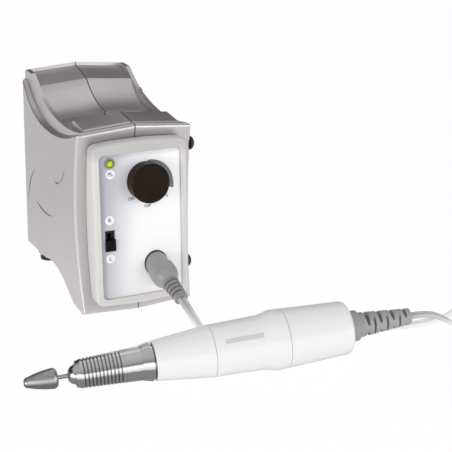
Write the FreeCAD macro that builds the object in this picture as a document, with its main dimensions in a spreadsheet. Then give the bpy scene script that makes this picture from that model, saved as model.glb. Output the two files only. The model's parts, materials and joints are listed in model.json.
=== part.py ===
import FreeCAD
import Part
import Sketcher
import math
import os

# Nail drill machine: a desk control box with a cradle on top and a handpiece on a twin flex.
# Millimetres. X runs to the right, Y to the back and Z up, and the box stands on the plane z = 0.

doc = FreeCAD.newDocument("nail_drill_machine")
sheet = doc.addObject("Spreadsheet::Sheet", "Sizes")


# Sizes: a number with the spreadsheet expression that gives it
class Size:
    def __init__(self, number, text):
        self.number = number
        self.text = text

    def __add__(self, other):
        return Size(self.number + plain(other), "(%s + %s)" % (self.text, words(other)))

    def __radd__(self, other):
        return Size(plain(other) + self.number, "(%s + %s)" % (words(other), self.text))

    def __sub__(self, other):
        return Size(self.number - plain(other), "(%s - %s)" % (self.text, words(other)))

    def __rsub__(self, other):
        return Size(plain(other) - self.number, "(%s - %s)" % (words(other), self.text))

    def __mul__(self, other):
        return Size(self.number * plain(other), "(%s * %s)" % (self.text, words(other)))

    def __rmul__(self, other):
        return Size(plain(other) * self.number, "(%s * %s)" % (words(other), self.text))

    def __truediv__(self, other):
        return Size(self.number / plain(other), "(%s / %s)" % (self.text, words(other)))

    def __neg__(self):
        return Size(-self.number, "(0 - %s)" % self.text)


def plain(value):
    return value.number if isinstance(value, Size) else float(value)


def words(value):
    return value.text if isinstance(value, Size) else "(%.6f)" % value


def sine(angle):
    return Size(math.sin(math.radians(plain(angle))), "sin(%s)" % words(angle))


def cosine(angle):
    return Size(math.cos(math.radians(plain(angle))), "cos(%s)" % words(angle))


def tangent(angle):
    return Size(math.tan(math.radians(plain(angle))), "tan(%s)" % words(angle))


def root(value):
    return Size(math.sqrt(plain(value)), "sqrt(%s)" % words(value))


def slope_angle(ratio):
    return Size(math.degrees(math.atan(plain(ratio))), "(atan(%s) / 1 deg)" % words(ratio))


sheet_rows = []


def size(alias, value):
    sheet_rows.append(alias)
    line = len(sheet_rows)
    sheet.set("A%d" % line, alias)
    sheet.set("B%d" % line, str(value))
    sheet.setAlias("B%d" % line, alias)
    return Size(float(value), "Sizes.%s" % alias)


# Fits
running_gap = size("running_gap", 0.05)
seat_gap = size("seat_gap", 0.1)
cover_gap = size("cover_gap", 0.3)

# Row origin, seen from the middle of the box's front foot line
origin_right = size("origin_right", 13.2)
origin_back = size("origin_back", -3.5)

# Box shell
half_width = size("half_width", 36.0)
side_bulge = size("side_bulge", 1.9)
side_bulge_height = size("side_bulge_height", 70.0)
front_lip_height = size("front_lip_height", 2.4)
front_top_back = size("front_top_back", 5.7)
front_top_height = size("front_top_height", 117.2)
front_hollow = size("front_hollow", 7.0)
rear_top_back = size("rear_top_back", 114.2)
rear_top_height = size("rear_top_height", 131.7)
rear_foot_back = size("rear_foot_back", 115.0)
rear_foot_height = size("rear_foot_height", 11.0)
rear_hollow = size("rear_hollow", 4.6)
crest_bend_back = size("crest_bend_back", 82.0)
crest_bend_drop = size("crest_bend_drop", 10.4)
crest_bend_height = rear_top_height - crest_bend_drop
crest_dip = size("crest_dip", 5.7)
crest_end_back = size("crest_end_back", 100.0)
crest_end_dip = size("crest_end_dip", 0.3)
belly_arch = size("belly_arch", 3.4)
belly_front_back = size("belly_front_back", 36.0)
belly_front_height = size("belly_front_height", 12.4)
belly_rear_back = size("belly_rear_back", 72.0)
belly_rear_height = size("belly_rear_height", 14.0)
chin_back = size("chin_back", 19.5)
chin_height = size("chin_height", 3.3)
roof_rise = size("roof_rise", 3.0)
belly_drop = size("belly_drop", 2.0)
shell_wall = size("shell_wall", 2.6)
perimeter_round = size("perimeter_round", 2.2)

# Side panel that stands proud below the scooped shoulder line
shoulder_half_width = size("shoulder_half_width", 34.2)
shoulder_front_rise = size("shoulder_front_rise", 0.3)
shoulder_front_height = front_top_height + shoulder_front_rise
shoulder_mid_back = size("shoulder_mid_back", 63.5)
shoulder_mid_drop = size("shoulder_mid_drop", 10.5)
shoulder_mid_height = front_top_height - shoulder_mid_drop
shoulder_front_sag = size("shoulder_front_sag", 3.3)
shoulder_rear_back = size("shoulder_rear_back", 99.7)
shoulder_rear_drop = size("shoulder_rear_drop", 15.3)
shoulder_rear_height = rear_top_height - shoulder_rear_drop
shoulder_rear_sag = size("shoulder_rear_sag", 2.6)
shoulder_slant = size("shoulder_slant", 2.6)
ledge_round = size("ledge_round", 1.0)

# Cradle for the handpiece
cradle_half_width = size("cradle_half_width", 31.5)
trough_front = size("trough_front", 31.5)
trough_rear = size("trough_rear", 56.7)
trough_drop = size("trough_drop", 4.7)
trough_height = front_top_height - trough_drop
ledge_rise = size("ledge_rise", 2.1)
ledge_height = trough_height + ledge_rise
ledge_depth = size("ledge_depth", 3.6)
slope_rear = size("slope_rear", 87.5)
slope_rear_drop = size("slope_rear_drop", 6.1)
slope_rear_height = rear_top_height - slope_rear_drop
slope_sag = size("slope_sag", 1.9)
shelf_front = size("shelf_front", 90.5)
shelf_front_drop = size("shelf_front_drop", 3.4)
shelf_front_height = rear_top_height - shelf_front_drop
shelf_rear = size("shelf_rear", 111.6)
shelf_rear_rise = size("shelf_rear_rise", 0.9)
shelf_rear_height = rear_top_height + shelf_rear_rise
block_half_width = size("block_half_width", 30.5)
block_front = size("block_front", 11.5)
block_front_rise = size("block_front_rise", 2.4)
block_front_height = front_top_height + block_front_rise
block_rear_rise = size("block_rear_rise", 1.4)
block_rear_height = block_front_height + block_rear_rise
block_round = size("block_round", 1.0)

# Panel and its bezel
panel_lean = size("panel_lean", 4.4)
panel_foot_back = size("panel_foot_back", -8.3)
panel_half_width = size("panel_half_width", 26.2)
panel_bottom = size("panel_bottom", 14.7)
panel_top_drop = size("panel_top_drop", 12.7)
panel_top = front_top_height - panel_top_drop
panel_thickness = size("panel_thickness", 2.0)
panel_corner = size("panel_corner", 3.0)
bezel_rim = size("bezel_rim", 3.9)
bezel_top_rim = size("bezel_top_rim", 6.2)
bezel_proud = size("bezel_proud", 1.1)
bezel_corner = size("bezel_corner", 4.5)
bezel_seat = size("bezel_seat", 1.9)
bezel_top_seat = size("bezel_top_seat", 1.4)
bezel_edge_round = size("bezel_edge_round", 1.8)
bezel_crown = size("bezel_crown", 1.3)
window_crown = size("window_crown", 1.0)
front_opening_half = size("front_opening_half", 25.5)
front_opening_rise = size("front_opening_rise", 0.8)
front_opening_bottom = panel_bottom + front_opening_rise
front_opening_top = panel_top
post_side = size("post_side", 21.5)
post_low = size("post_low", 25.0)
post_high_drop = size("post_high_drop", 16.5)
post_high = panel_top - post_high_drop
post_radius = size("post_radius", 2.4)
post_length = size("post_length", 14.0)

# Controls on the panel
knob_side = size("knob_side", 3.2)
knob_drop = size("knob_drop", 18.0)
knob_up = panel_top - knob_drop
knob_radius = size("knob_radius", 11.9)
knob_front_radius = size("knob_front_radius", 12.1)
knob_height = size("knob_height", 10.0)
knob_bevel = size("knob_bevel", 1.1)
knob_skirt = size("knob_skirt", 1.0)
knob_hollow_radius = size("knob_hollow_radius", 7.6)
knob_hollow_depth = size("knob_hollow_depth", 3.6)
knob_bore_depth = size("knob_bore_depth", 7.6)
pointer_width = size("pointer_width", 1.3)
pointer_length = size("pointer_length", 5.0)
pointer_height = size("pointer_height", 0.4)
pot_shaft_radius = size("pot_shaft_radius", 3.0)
pot_bush_radius = size("pot_bush_radius", 3.9)
pot_bush_proud = size("pot_bush_proud", 2.6)
pot_body_radius = size("pot_body_radius", 8.2)
pot_body_depth = size("pot_body_depth", 9.0)
pot_nut_flats = size("pot_nut_flats", 10.6)
pot_nut_height = size("pot_nut_height", 2.0)
slider_side = size("slider_side", -20.3)
slider_rest_up = size("slider_rest_up", 48.9)
slider_travel = size("slider_travel", 5.6)
slider_width = size("slider_width", 6.1)
slider_height = size("slider_height", 7.0)
slider_proud = size("slider_proud", 1.4)
slider_stem_width = size("slider_stem_width", 2.0)
slider_stem_height = size("slider_stem_height", 3.0)
slider_stem_length = size("slider_stem_length", 3.0)
switch_width = size("switch_width", 6.8)
switch_height = size("switch_height", 21.0)
switch_depth = size("switch_depth", 8.0)
lamp_side = size("lamp_side", -19.2)
lamp_drop = size("lamp_drop", 5.2)
lamp_up = panel_top - lamp_drop
lamp_radius = size("lamp_radius", 2.4)
lamp_proud = size("lamp_proud", 1.6)
lamp_flange = size("lamp_flange", 2.9)
lamp_length = size("lamp_length", 6.5)
lamp_ring_width = size("lamp_ring_width", 0.9)
lamp_ring_height = size("lamp_ring_height", 0.7)

# Plug and its socket
plug_side = size("plug_side", 9.0)
plug_up = size("plug_up", 33.4)
plug_droop = size("plug_droop", 22.9)
plug_heading = size("plug_heading", -85.5)
plug_radius = size("plug_radius", 7.2)
plug_body_radius = size("plug_body_radius", 8.3)
plug_collar_length = size("plug_collar_length", 6.6)
plug_waist_place = size("plug_waist_place", 13.2)
plug_neck_radius = size("plug_neck_radius", 5.6)
plug_length = size("plug_length", 19.5)
plug_sunk = size("plug_sunk", 5.0)
plug_flat = size("plug_flat", 0.7)
plug_pin_radius = size("plug_pin_radius", 0.8)
plug_pin_ring = size("plug_pin_ring", 3.0)
plug_pin_length = size("plug_pin_length", 5.0)
plug_boot_length = size("plug_boot_length", 15.3)
plug_boot_radius = size("plug_boot_radius", 5.2)
plug_boot_end_radius = size("plug_boot_end_radius", 4.2)
socket_wall = size("socket_wall", 1.6)
socket_depth = size("socket_depth", 12.0)
socket_gap = size("socket_gap", 0.4)

# Circuit board and what stands on it
board_half_width = size("board_half_width", 24.5)
board_bottom = size("board_bottom", 21.0)
board_top_drop = size("board_top_drop", 12.5)
board_top = panel_top - board_top_drop
board_thickness = size("board_thickness", 1.6)
board_screw_radius = size("board_screw_radius", 1.2)
board_screw_length = size("board_screw_length", 9.0)
board_screw_head = size("board_screw_head", 2.3)
board_screw_head_height = size("board_screw_head_height", 1.6)
capacitor_radius = size("capacitor_radius", 6.3)
capacitor_length = size("capacitor_length", 20.0)
capacitor_side = size("capacitor_side", -14.0)
capacitor_up = size("capacitor_up", 44.0)
relay_width = size("relay_width", 15.0)
relay_height = size("relay_height", 19.0)
relay_depth = size("relay_depth", 15.0)
relay_side = size("relay_side", 6.0)
relay_drop = size("relay_drop", 13.0)
relay_up = board_top - relay_drop
rectifier_width = size("rectifier_width", 15.0)
rectifier_height = size("rectifier_height", 3.6)
rectifier_depth = size("rectifier_depth", 11.0)
rectifier_side = size("rectifier_side", -13.0)
rectifier_up = size("rectifier_up", 68.0)
sink_width = size("sink_width", 22.0)
sink_base = size("sink_base", 2.5)
sink_height = size("sink_height", 26.0)
sink_fin_depth = size("sink_fin_depth", 10.0)
sink_fin_thickness = size("sink_fin_thickness", 1.4)
sink_side = size("sink_side", 9.0)
sink_up = size("sink_up", 52.0)
transistor_width = size("transistor_width", 10.0)
transistor_depth = size("transistor_depth", 4.4)
transistor_height = size("transistor_height", 15.0)

# Transformer on the floor of the box
core_half_width = size("core_half_width", 22.0)
core_depth = size("core_depth", 18.0)
core_height = size("core_height", 38.0)
core_middle_back = size("core_middle_back", 76.0)
window_width = size("window_width", 8.0)
window_height = size("window_height", 22.0)
limb_half_width = size("limb_half_width", 7.0)
coil_overhang = size("coil_overhang", 6.5)
floor_height = size("floor_height", 18.4)
flange_half_width = size("flange_half_width", 29.0)
flange_thickness = size("flange_thickness", 1.6)
transformer_screw_radius = size("transformer_screw_radius", 1.5)
transformer_screw_head = size("transformer_screw_head", 2.9)
transformer_screw_side = size("transformer_screw_side", 25.8)

# Rear plate with the mains inlet and fuse
rear_opening_half = size("rear_opening_half", 23.0)
rear_opening_bottom = size("rear_opening_bottom", 26.0)
rear_opening_top = size("rear_opening_top", 84.0)
rear_inner_back = size("rear_inner_back", 107.2)
rear_plate_lap = size("rear_plate_lap", 3.0)
rear_plate_thickness = size("rear_plate_thickness", 1.8)
inlet_width = size("inlet_width", 27.0)
inlet_height = size("inlet_height", 19.6)
inlet_depth = size("inlet_depth", 15.0)
inlet_up = size("inlet_up", 43.0)
inlet_flange_lap = size("inlet_flange_lap", 2.0)
inlet_flange_thickness = size("inlet_flange_thickness", 1.8)
inlet_wall = size("inlet_wall", 1.6)
inlet_pin_spread = size("inlet_pin_spread", 7.0)
inlet_pin_width = size("inlet_pin_width", 2.0)
inlet_pin_height = size("inlet_pin_height", 4.0)
inlet_pin_length = size("inlet_pin_length", 10.0)
fuse_side = size("fuse_side", -11.0)
fuse_up = size("fuse_up", 70.0)
fuse_holder_radius = size("fuse_holder_radius", 6.0)
fuse_holder_length = size("fuse_holder_length", 27.0)
fuse_flange_radius = size("fuse_flange_radius", 7.6)
fuse_flange_thickness = size("fuse_flange_thickness", 1.4)
fuse_bore_radius = size("fuse_bore_radius", 3.2)
fuse_radius = size("fuse_radius", 2.6)
fuse_length = size("fuse_length", 20.0)
fuse_cap_radius = size("fuse_cap_radius", 6.4)
fuse_cap_height = size("fuse_cap_height", 3.0)
vent_side = size("vent_side", 9.0)
vent_width = size("vent_width", 14.0)
vent_slot = size("vent_slot", 2.0)
vent_pitch = size("vent_pitch", 4.0)
vent_up = size("vent_up", 62.0)

# Feet and shell screws
front_foot_radius = size("front_foot_radius", 4.5)
front_foot_side = size("front_foot_side", 22.0)
front_foot_back = size("front_foot_back", 12.0)
rear_foot_radius = size("rear_foot_radius", 6.0)
rear_foot_side = size("rear_foot_side", 24.5)
rear_foot_place = size("rear_foot_place", 104.0)
rear_foot_thickness = size("rear_foot_thickness", 3.4)
pod_radius = size("pod_radius", 7.4)
side_foot_radius = size("side_foot_radius", 4.4)
side_foot_dome = size("side_foot_dome", 2.4)
side_foot_ledge = size("side_foot_ledge", 0.8)
screw_front_back = size("screw_front_back", 26.0)
screw_top_back = size("screw_top_back", 20.0)
screw_rear_back = size("screw_rear_back", 99.0)
screw_low = size("screw_low", 23.8)
screw_high_drop = size("screw_high_drop", 17.8)
screw_high = front_top_height - screw_high_drop
screw_rear_drop = size("screw_rear_drop", 19.7)
screw_rear_high = rear_top_height - screw_rear_drop
shell_screw_radius = size("shell_screw_radius", 1.5)
shell_screw_head = size("shell_screw_head", 2.8)
shell_screw_head_height = size("shell_screw_head_height", 2.2)
shell_screw_left = size("shell_screw_left", -10.0)
shell_screw_right = size("shell_screw_right", 26.0)
boss_radius = size("boss_radius", 4.2)

# Handpiece, along its own axis from the first housing seam to the rear
hand_side = size("hand_side", 4.8)
hand_back = size("hand_back", -92.6)
hand_yaw = size("hand_yaw", -10.2)
seam_radius = size("seam_radius", 14.7)
rest_radius = size("rest_radius", 17.25)
rest_place = size("rest_place", 36.0)
rear_seam = size("rear_seam", 42.3)
rear_seam_radius = size("rear_seam_radius", 17.0)
middle_swell_place = size("middle_swell_place", 29.0)
middle_swell_radius = size("middle_swell_radius", 15.5)
housing_wall = size("housing_wall", 1.8)
seam_gap = size("seam_gap", 0.25)
cone_place = size("cone_place", -32.6)
cone_radius = size("cone_radius", 11.2)
rear_cap_end = size("rear_cap_end", 81.0)
rear_cap_radius = size("rear_cap_radius", 15.4)
rear_cap_round = size("rear_cap_round", 3.0)
boot_neck_radius = size("boot_neck_radius", 5.0)
boot_flange_radius = size("boot_flange_radius", 8.9)
boot_flange_length = size("boot_flange_length", 5.8)
boot_length = size("boot_length", 33.0)
boot_first_radius = size("boot_first_radius", 7.4)
boot_last_radius = size("boot_last_radius", 4.7)
boot_first_notch = size("boot_first_notch", 5.6)
boot_notch_pitch = size("boot_notch_pitch", 7.9)
boot_notch_width = size("boot_notch_width", 3.3)
boot_notch_floor = size("boot_notch_floor", 1.3)
boot_core_half_height = size("boot_core_half_height", 2.0)
boot_slot_width = size("boot_slot_width", 1.4)
boot_core_half_width = size("boot_core_half_width", 3.2)
nose_tube_radius = size("nose_tube_radius", 6.0)
nose_bore_radius = size("nose_bore_radius", 5.0)
nose_tip_place = size("nose_tip_place", -76.0)
nose_inner_end = size("nose_inner_end", -20.0)
flare_place = size("flare_place", -34.5)
flare_radius = size("flare_radius", 11.0)
flare_start_place = size("flare_start_place", -40.0)
flare_start_radius = size("flare_start_radius", 9.5)
sleeve_rear = size("sleeve_rear", -49.0)
sleeve_rear_radius = size("sleeve_rear_radius", 9.1)
sleeve_front = size("sleeve_front", -75.7)
sleeve_front_radius = size("sleeve_front_radius", 7.1)
sleeve_bevel_place = size("sleeve_bevel_place", -73.0)
sleeve_bevel_radius = size("sleeve_bevel_radius", 8.0)
groove_pitch = size("groove_pitch", 2.0)
groove_width = size("groove_width", 0.8)
groove_depth = size("groove_depth", 0.55)
nose_cap_length = size("nose_cap_length", 3.8)
nose_cap_hole = size("nose_cap_hole", 1.7)
nose_cap_tip_radius = size("nose_cap_tip_radius", 2.6)
spindle_radius = size("spindle_radius", 3.0)
spindle_front = size("spindle_front", -70.0)
spindle_rear = size("spindle_rear", -13.2)
collet_radius = size("collet_radius", 1.95)
collet_front = size("collet_front", -73.5)
collet_rear = size("collet_rear", -56.0)
collet_slit = size("collet_slit", 0.4)
collet_slit_length = size("collet_slit_length", 10.0)
collet_travel = size("collet_travel", 0.8)
shank_radius = size("shank_radius", 1.175)
shank_rear = size("shank_rear", -57.0)
shank_front = size("shank_front", -91.0)
bit_rear = size("bit_rear", -85.2)
bit_front = size("bit_front", -103.5)
bit_radius = size("bit_radius", 5.7)
bit_tip_radius = size("bit_tip_radius", 2.9)
bit_tip_length = size("bit_tip_length", 2.0)
bit_tip_flat = size("bit_tip_flat", 1.2)
bit_heel = size("bit_heel", 2.8)
bearing_length = size("bearing_length", 4.0)
front_bearing_place = size("front_bearing_place", -66.0)
rear_bearing_place = size("rear_bearing_place", -30.0)
coupling_radius = size("coupling_radius", 4.5)
coupling_front = size("coupling_front", -19.0)
coupling_rear = size("coupling_rear", -7.0)
can_radius = size("can_radius", 12.0)
can_wall = size("can_wall", 1.0)
can_front = size("can_front", -5.0)
can_rear = size("can_rear", 47.0)
magnet_thickness = size("magnet_thickness", 1.6)
armature_radius = size("armature_radius", 8.8)
armature_front = size("armature_front", 2.0)
armature_rear = size("armature_rear", 33.0)
motor_shaft_radius = size("motor_shaft_radius", 1.6)
commutator_radius = size("commutator_radius", 4.0)
commutator_front = size("commutator_front", 35.0)
commutator_rear = size("commutator_rear", 43.0)
brush_width = size("brush_width", 3.0)
brush_length = size("brush_length", 4.5)
end_bell_thickness = size("end_bell_thickness", 2.5)

# Twin flex: width across both cores and the coil that takes up its spare length
flex_width = size("flex_width", 5.6)
coil_turn_radius = size("coil_turn_radius", 31.0)
coil_side = size("coil_side", 212.8)
coil_back = size("coil_back", -102.5)
coil_turn_gap = size("coil_turn_gap", 0.7)
tie_width = size("tie_width", 9.0)
tie_thickness = size("tie_thickness", 0.8)
tie_slack = size("tie_slack", 0.8)
coil_layer_gap = size("coil_layer_gap", 0.5)


# Places: each frame is a spreadsheet placement that the pieces in it share
def place_words(x, y, z, yaw=0.0, pitch=0.0, roll=0.0):
    spot = "vector(%s; %s; %s)" % (words(x), words(y), words(z))
    turn = "rotation(%s; %s; %s)" % (words(yaw), words(pitch), words(roll))
    return "placement(%s; %s)" % (spot, turn)


hand_tilt = slope_angle((rest_radius - seam_radius) / rest_place)
hand_height = seam_radius * cosine(hand_tilt)

box_frame = place_words(-origin_right, -origin_back, 0)
panel_frame = place_words(-origin_right, panel_foot_back - origin_back, 0, 0, 0, -panel_lean)
hand_frame = place_words(hand_side - origin_right, hand_back - origin_back, hand_height,
                         hand_yaw, -hand_tilt, 0)
plug_frame = "%s * %s" % (panel_frame, place_words(plug_side, 0, plug_up, plug_heading, plug_droop, 0))


def put(piece, frame, x=0, y=0, z=0, yaw=0, pitch=0, roll=0):
    spot = place_words(x, y, z, yaw, pitch, roll)
    piece.setExpression("Placement", "%s * %s" % (frame, spot))
    return piece


def put_local(piece, x=0, y=0, z=0, yaw=0, pitch=0, roll=0):
    piece.setExpression("Placement", place_words(x, y, z, yaw, pitch, roll))
    return piece


# Sketches
def new_body(name):
    body = doc.addObject("PartDesign::Body", name)
    body.Label = name
    return body


def new_sketch(body, name, plane, offset=None):
    sketch = body.newObject("Sketcher::SketchObject", name)
    planes = [item for item in body.Origin.OriginFeatures if item.Role == plane]
    sketch.AttachmentSupport = [(planes[0], "")]
    sketch.MapMode = "FlatFace"
    if offset is not None:
        sketch.setExpression("AttachmentOffset", place_words(0, 0, offset))
    return sketch


def bind_constraint(sketch, kind, geometry, point, value):
    if kind == "Radius":
        index = sketch.addConstraint(Sketcher.Constraint(kind, geometry, abs(plain(value))))
    else:
        index = sketch.addConstraint(Sketcher.Constraint(kind, -1, 1, geometry, point, plain(value)))
    sketch.setExpression("Constraints[%d]" % index, words(value))


def arc_between(start, end, bow):
    ax, ay = plain(start[0]), plain(start[1])
    bx, by = plain(end[0]), plain(end[1])
    chord = math.hypot(bx - ax, by - ay)
    sag = abs(plain(bow))
    radius = chord ** 2 / (8 * sag) + sag / 2
    side = 1 if plain(bow) > 0 else -1
    reach = side * (radius - sag)
    centre = FreeCAD.Vector((ax + bx) / 2 - (by - ay) / chord * reach,
                            (ay + by) / 2 + (bx - ax) / chord * reach, 0)
    first = math.atan2(ay - centre.y, ax - centre.x)
    last = math.atan2(by - centre.y, bx - centre.x)
    if side < 0:
        first, last = last, first
    circle = Part.Circle(centre, FreeCAD.Vector(0, 0, 1), radius)
    return Part.ArcOfCircle(circle, first, last)


# A loop of points (across, up) or (across, up, bow): a bow makes the edge to the next point
# an arc that bulges to the right of the way the loop runs, or to its left when negative
def add_loop(sketch, points):
    count = len(points)
    first = sketch.GeometryCount
    heads = []
    for i, point in enumerate(points):
        after = points[(i + 1) % count]
        bow = point[2] if len(point) > 2 else 0.0
        if plain(bow) == 0.0:
            start = FreeCAD.Vector(plain(point[0]), plain(point[1]), 0)
            end = FreeCAD.Vector(plain(after[0]), plain(after[1]), 0)
            sketch.addGeometry(Part.LineSegment(start, end), False)
            heads.append((1, 2))
        else:
            sketch.addGeometry(arc_between(point, after, bow), False)
            heads.append((1, 2) if plain(bow) > 0 else (2, 1))
    for i, point in enumerate(points):
        follower = (i + 1) % count
        joined = Sketcher.Constraint("Coincident", first + i, heads[i][1],
                                     first + follower, heads[follower][0])
        sketch.addConstraint(joined)
        bind_constraint(sketch, "DistanceX", first + i, heads[i][0], point[0])
        bind_constraint(sketch, "DistanceY", first + i, heads[i][0], point[1])
        bow = point[2] if len(point) > 2 else 0.0
        if plain(bow) != 0.0:
            after = points[follower]
            run = after[0] - point[0]
            rise = after[1] - point[1]
            sag = bow if plain(bow) > 0 else -bow
            radius = (run * run + rise * rise) / (8 * sag) + sag / 2
            bind_constraint(sketch, "Radius", first + i, 0, radius)


def outline(body, name, plane, points, offset=None):
    sketch = new_sketch(body, name, plane, offset)
    add_loop(sketch, points)
    return sketch


def outlines(body, name, plane, loops, offset=None):
    sketch = new_sketch(body, name, plane, offset)
    for points in loops:
        add_loop(sketch, points)
    return sketch


def circles(body, name, plane, centres, radius, offset=None):
    sketch = new_sketch(body, name, plane, offset)
    for i, centre in enumerate(centres):
        spot = FreeCAD.Vector(plain(centre[0]), plain(centre[1]), 0)
        sketch.addGeometry(Part.Circle(spot, FreeCAD.Vector(0, 0, 1), plain(radius)), False)
        bind_constraint(sketch, "Radius", i, 0, radius)
        bind_constraint(sketch, "DistanceX", i, 3, centre[0])
        bind_constraint(sketch, "DistanceY", i, 3, centre[1])
    return sketch


def rectangle(left, right, low, high):
    return [(left, low), (right, low), (right, high), (left, high)]


def rounded_rectangle(half, low, high, corner):
    bow = corner * (1 - root(Size(0.5, "0.5")))
    return [(-half + corner, low), (half - corner, low, bow), (half, low + corner),
            (half, high - corner, bow), (half - corner, high), (-half + corner, high, bow),
            (-half, high - corner), (-half, low + corner, bow)]


def mirrored(points, side):
    result = []
    for point in points:
        flipped = [point[0] * side, point[1]]
        if len(point) > 2:
            flipped.append(point[2] * side)
        result.append(tuple(flipped))
    return result


# Features
def pad(body, name, sketch, length, reverse=False):
    feature = body.newObject("PartDesign::Pad", name)
    feature.Profile = sketch
    feature.setExpression("Length", words(length))
    feature.Reversed = reverse
    return feature


def cut(body, name, sketch, length, reverse=False):
    feature = body.newObject("PartDesign::Pocket", name)
    feature.Profile = sketch
    feature.setExpression("Length", words(length))
    feature.Reversed = reverse
    return feature


def loft(body, name, sections, hollow=False):
    kind = "PartDesign::SubtractiveLoft" if hollow else "PartDesign::AdditiveLoft"
    feature = body.newObject(kind, name)
    feature.Profile = sections[0]
    feature.Sections = sections[1:]
    feature.Ruled = True
    return feature


# A turned piece: its loop gives (place along the axis, radius) about the body's own X axis
def turned(name, points, frame=None, label=None):
    body = new_body(name)
    if label is not None:
        body.Label = label
    sketch = outline(body, name + "_profile", "XY_Plane", points)
    feature = body.newObject("PartDesign::Revolution", name + "_turn")
    feature.Profile = sketch
    feature.ReferenceAxis = (sketch, ["H_Axis"])
    feature.Angle = 360
    if frame is not None:
        put(body, frame)
    return body


def cylinder(name, radius, length):
    piece = doc.addObject("Part::Cylinder", name)
    piece.setExpression("Radius", words(radius))
    piece.setExpression("Height", words(length))
    return piece


def brick(name, length, depth, height):
    piece = doc.addObject("Part::Box", name)
    piece.setExpression("Length", words(length))
    piece.setExpression("Width", words(depth))
    piece.setExpression("Height", words(height))
    return piece


def less(name, base, tools):
    tool = tools[0]
    if len(tools) > 1:
        tool = doc.addObject("Part::MultiFuse", name + "_cuts")
        tool.Shapes = tools
    piece = doc.addObject("Part::Cut", name)
    piece.Base = base
    piece.Tool = tool
    piece.Label = name
    return piece


def joined(name, pieces):
    piece = doc.addObject("Part::MultiFuse", name)
    piece.Shapes = pieces
    piece.Label = name
    return piece


def group(name, pieces):
    piece = doc.addObject("Part::Compound", name)
    piece.Links = pieces
    piece.Label = name
    return piece


def edges_where(feature, test):
    doc.recompute()
    names = []
    for i, edge in enumerate(feature.Shape.Edges):
        if test(edge):
            names.append("Edge%d" % (i + 1))
    return names


def fillet(body, name, base, test, radius):
    names = edges_where(base, test)
    feature = body.newObject("PartDesign::Fillet", name)
    feature.Base = (base, names)
    feature.setExpression("Radius", words(radius))
    return feature


# Box shell
roof_line = rear_top_height + 20


def side_outline(spread):
    rise = roof_rise * (1 - spread)
    drop = belly_drop * (1 - spread)
    return [
        (0 * front_top_back, front_lip_height - drop),
        (chin_back, chin_height - drop),
        (belly_front_back, belly_front_height - drop, -belly_arch),
        (belly_rear_back, belly_rear_height - drop),
        (rear_foot_back, rear_foot_height - drop, -rear_hollow),
        (rear_top_back, rear_top_height + rise),
        (crest_end_back, rear_top_height + rise, -crest_end_dip),
        (crest_bend_back, crest_bend_height + rise, -crest_dip),
        (front_top_back, front_top_height + rise, -front_hollow),
    ]


def shoulder_outline(lower):
    return [
        (front_top_back - 20, shoulder_front_height - lower),
        (front_top_back, shoulder_front_height - lower, shoulder_front_sag),
        (shoulder_mid_back, shoulder_mid_height - lower, shoulder_rear_sag),
        (shoulder_rear_back, shoulder_rear_height - lower),
        (rear_top_back + 4, rear_top_height - 0.2 - lower),
        (rear_top_back + 20, roof_line),
        (front_top_back - 20, roof_line),
    ]


def cradle_outline(spread, roof):
    fall = roof_rise * spread
    return [
        (trough_front, trough_height - fall),
        (trough_rear, trough_height - fall),
        (trough_rear, ledge_height - fall),
        (trough_rear + ledge_depth, ledge_height - fall, slope_sag),
        (slope_rear, slope_rear_height - fall),
        (shelf_front, shelf_front_height - fall),
        (shelf_rear, shelf_rear_height - fall),
        (shelf_rear + 1, roof),
        (trough_front, roof),
    ]


def block_outline(spread):
    fall = roof_rise * spread
    return [
        (block_front, trough_height - 2 - fall),
        (trough_front + 0.2, trough_height - 2 - fall),
        (trough_front + 0.2, block_rear_height - 1.6 - fall),
        (trough_front - 2, block_rear_height - fall),
        (block_front + 2, block_front_height - fall),
        (block_front, block_front_height - 1 - fall),
    ]


def cavity_outline(top):
    fall = roof_rise + shell_wall
    ceiling = trough_height - fall
    if top is not None:
        ceiling = top
    points = [
        (front_lip_height - 0.6, front_lip_height + shell_wall),
        (chin_back, chin_height + shell_wall + 0.6),
        (belly_front_back, floor_height - 1),
        (belly_front_back + 4, floor_height),
        (rear_inner_back, floor_height),
    ]
    if top is None:
        points = points + [
            (rear_inner_back, shelf_rear_height - fall - 1.5),
            (shelf_front + 2, shelf_front_height - fall - 0.5),
            (slope_rear - 1, slope_rear_height - fall - 0.8),
            (trough_rear + ledge_depth + 0.4, ledge_height - fall - 0.3),
            (trough_rear, ceiling),
        ]
    else:
        points.append((rear_inner_back, ceiling))
    points.append((front_top_back + shell_wall + 0.5, ceiling, -(front_hollow - 1.2)))
    return points


screw_places = [(screw_front_back, screw_low), (screw_top_back, screw_high),
                (screw_rear_back, screw_low), (screw_rear_back, screw_rear_high)]


# Shallow leaf-shaped dents in both flanks, each from its upper end to its lower end
leaf_width = size("leaf_width", 1.6)
leaf_depth = size("leaf_depth", 0.7)
front_leaf_bow = size("front_leaf_bow", -3.4)
rear_leaf_bow = size("rear_leaf_bow", 4.6)
low_leaf_bow = size("low_leaf_bow", 3.2)
leaves = [
    ((size("front_leaf_top_back", 26.9), size("front_leaf_top_height", 89.6)),
     (size("front_leaf_end_back", 46.9), size("front_leaf_end_height", 75.4)), front_leaf_bow),
    ((size("rear_leaf_top_back", 85.3), size("rear_leaf_top_height", 72.0)),
     (size("rear_leaf_end_back", 103.9), size("rear_leaf_end_height", 43.5)), rear_leaf_bow),
    ((size("low_leaf_top_back", 87.5), size("low_leaf_top_height", 50.1)),
     (size("low_leaf_end_back", 51.9), size("low_leaf_end_height", 50.2)), low_leaf_bow),
]


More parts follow.
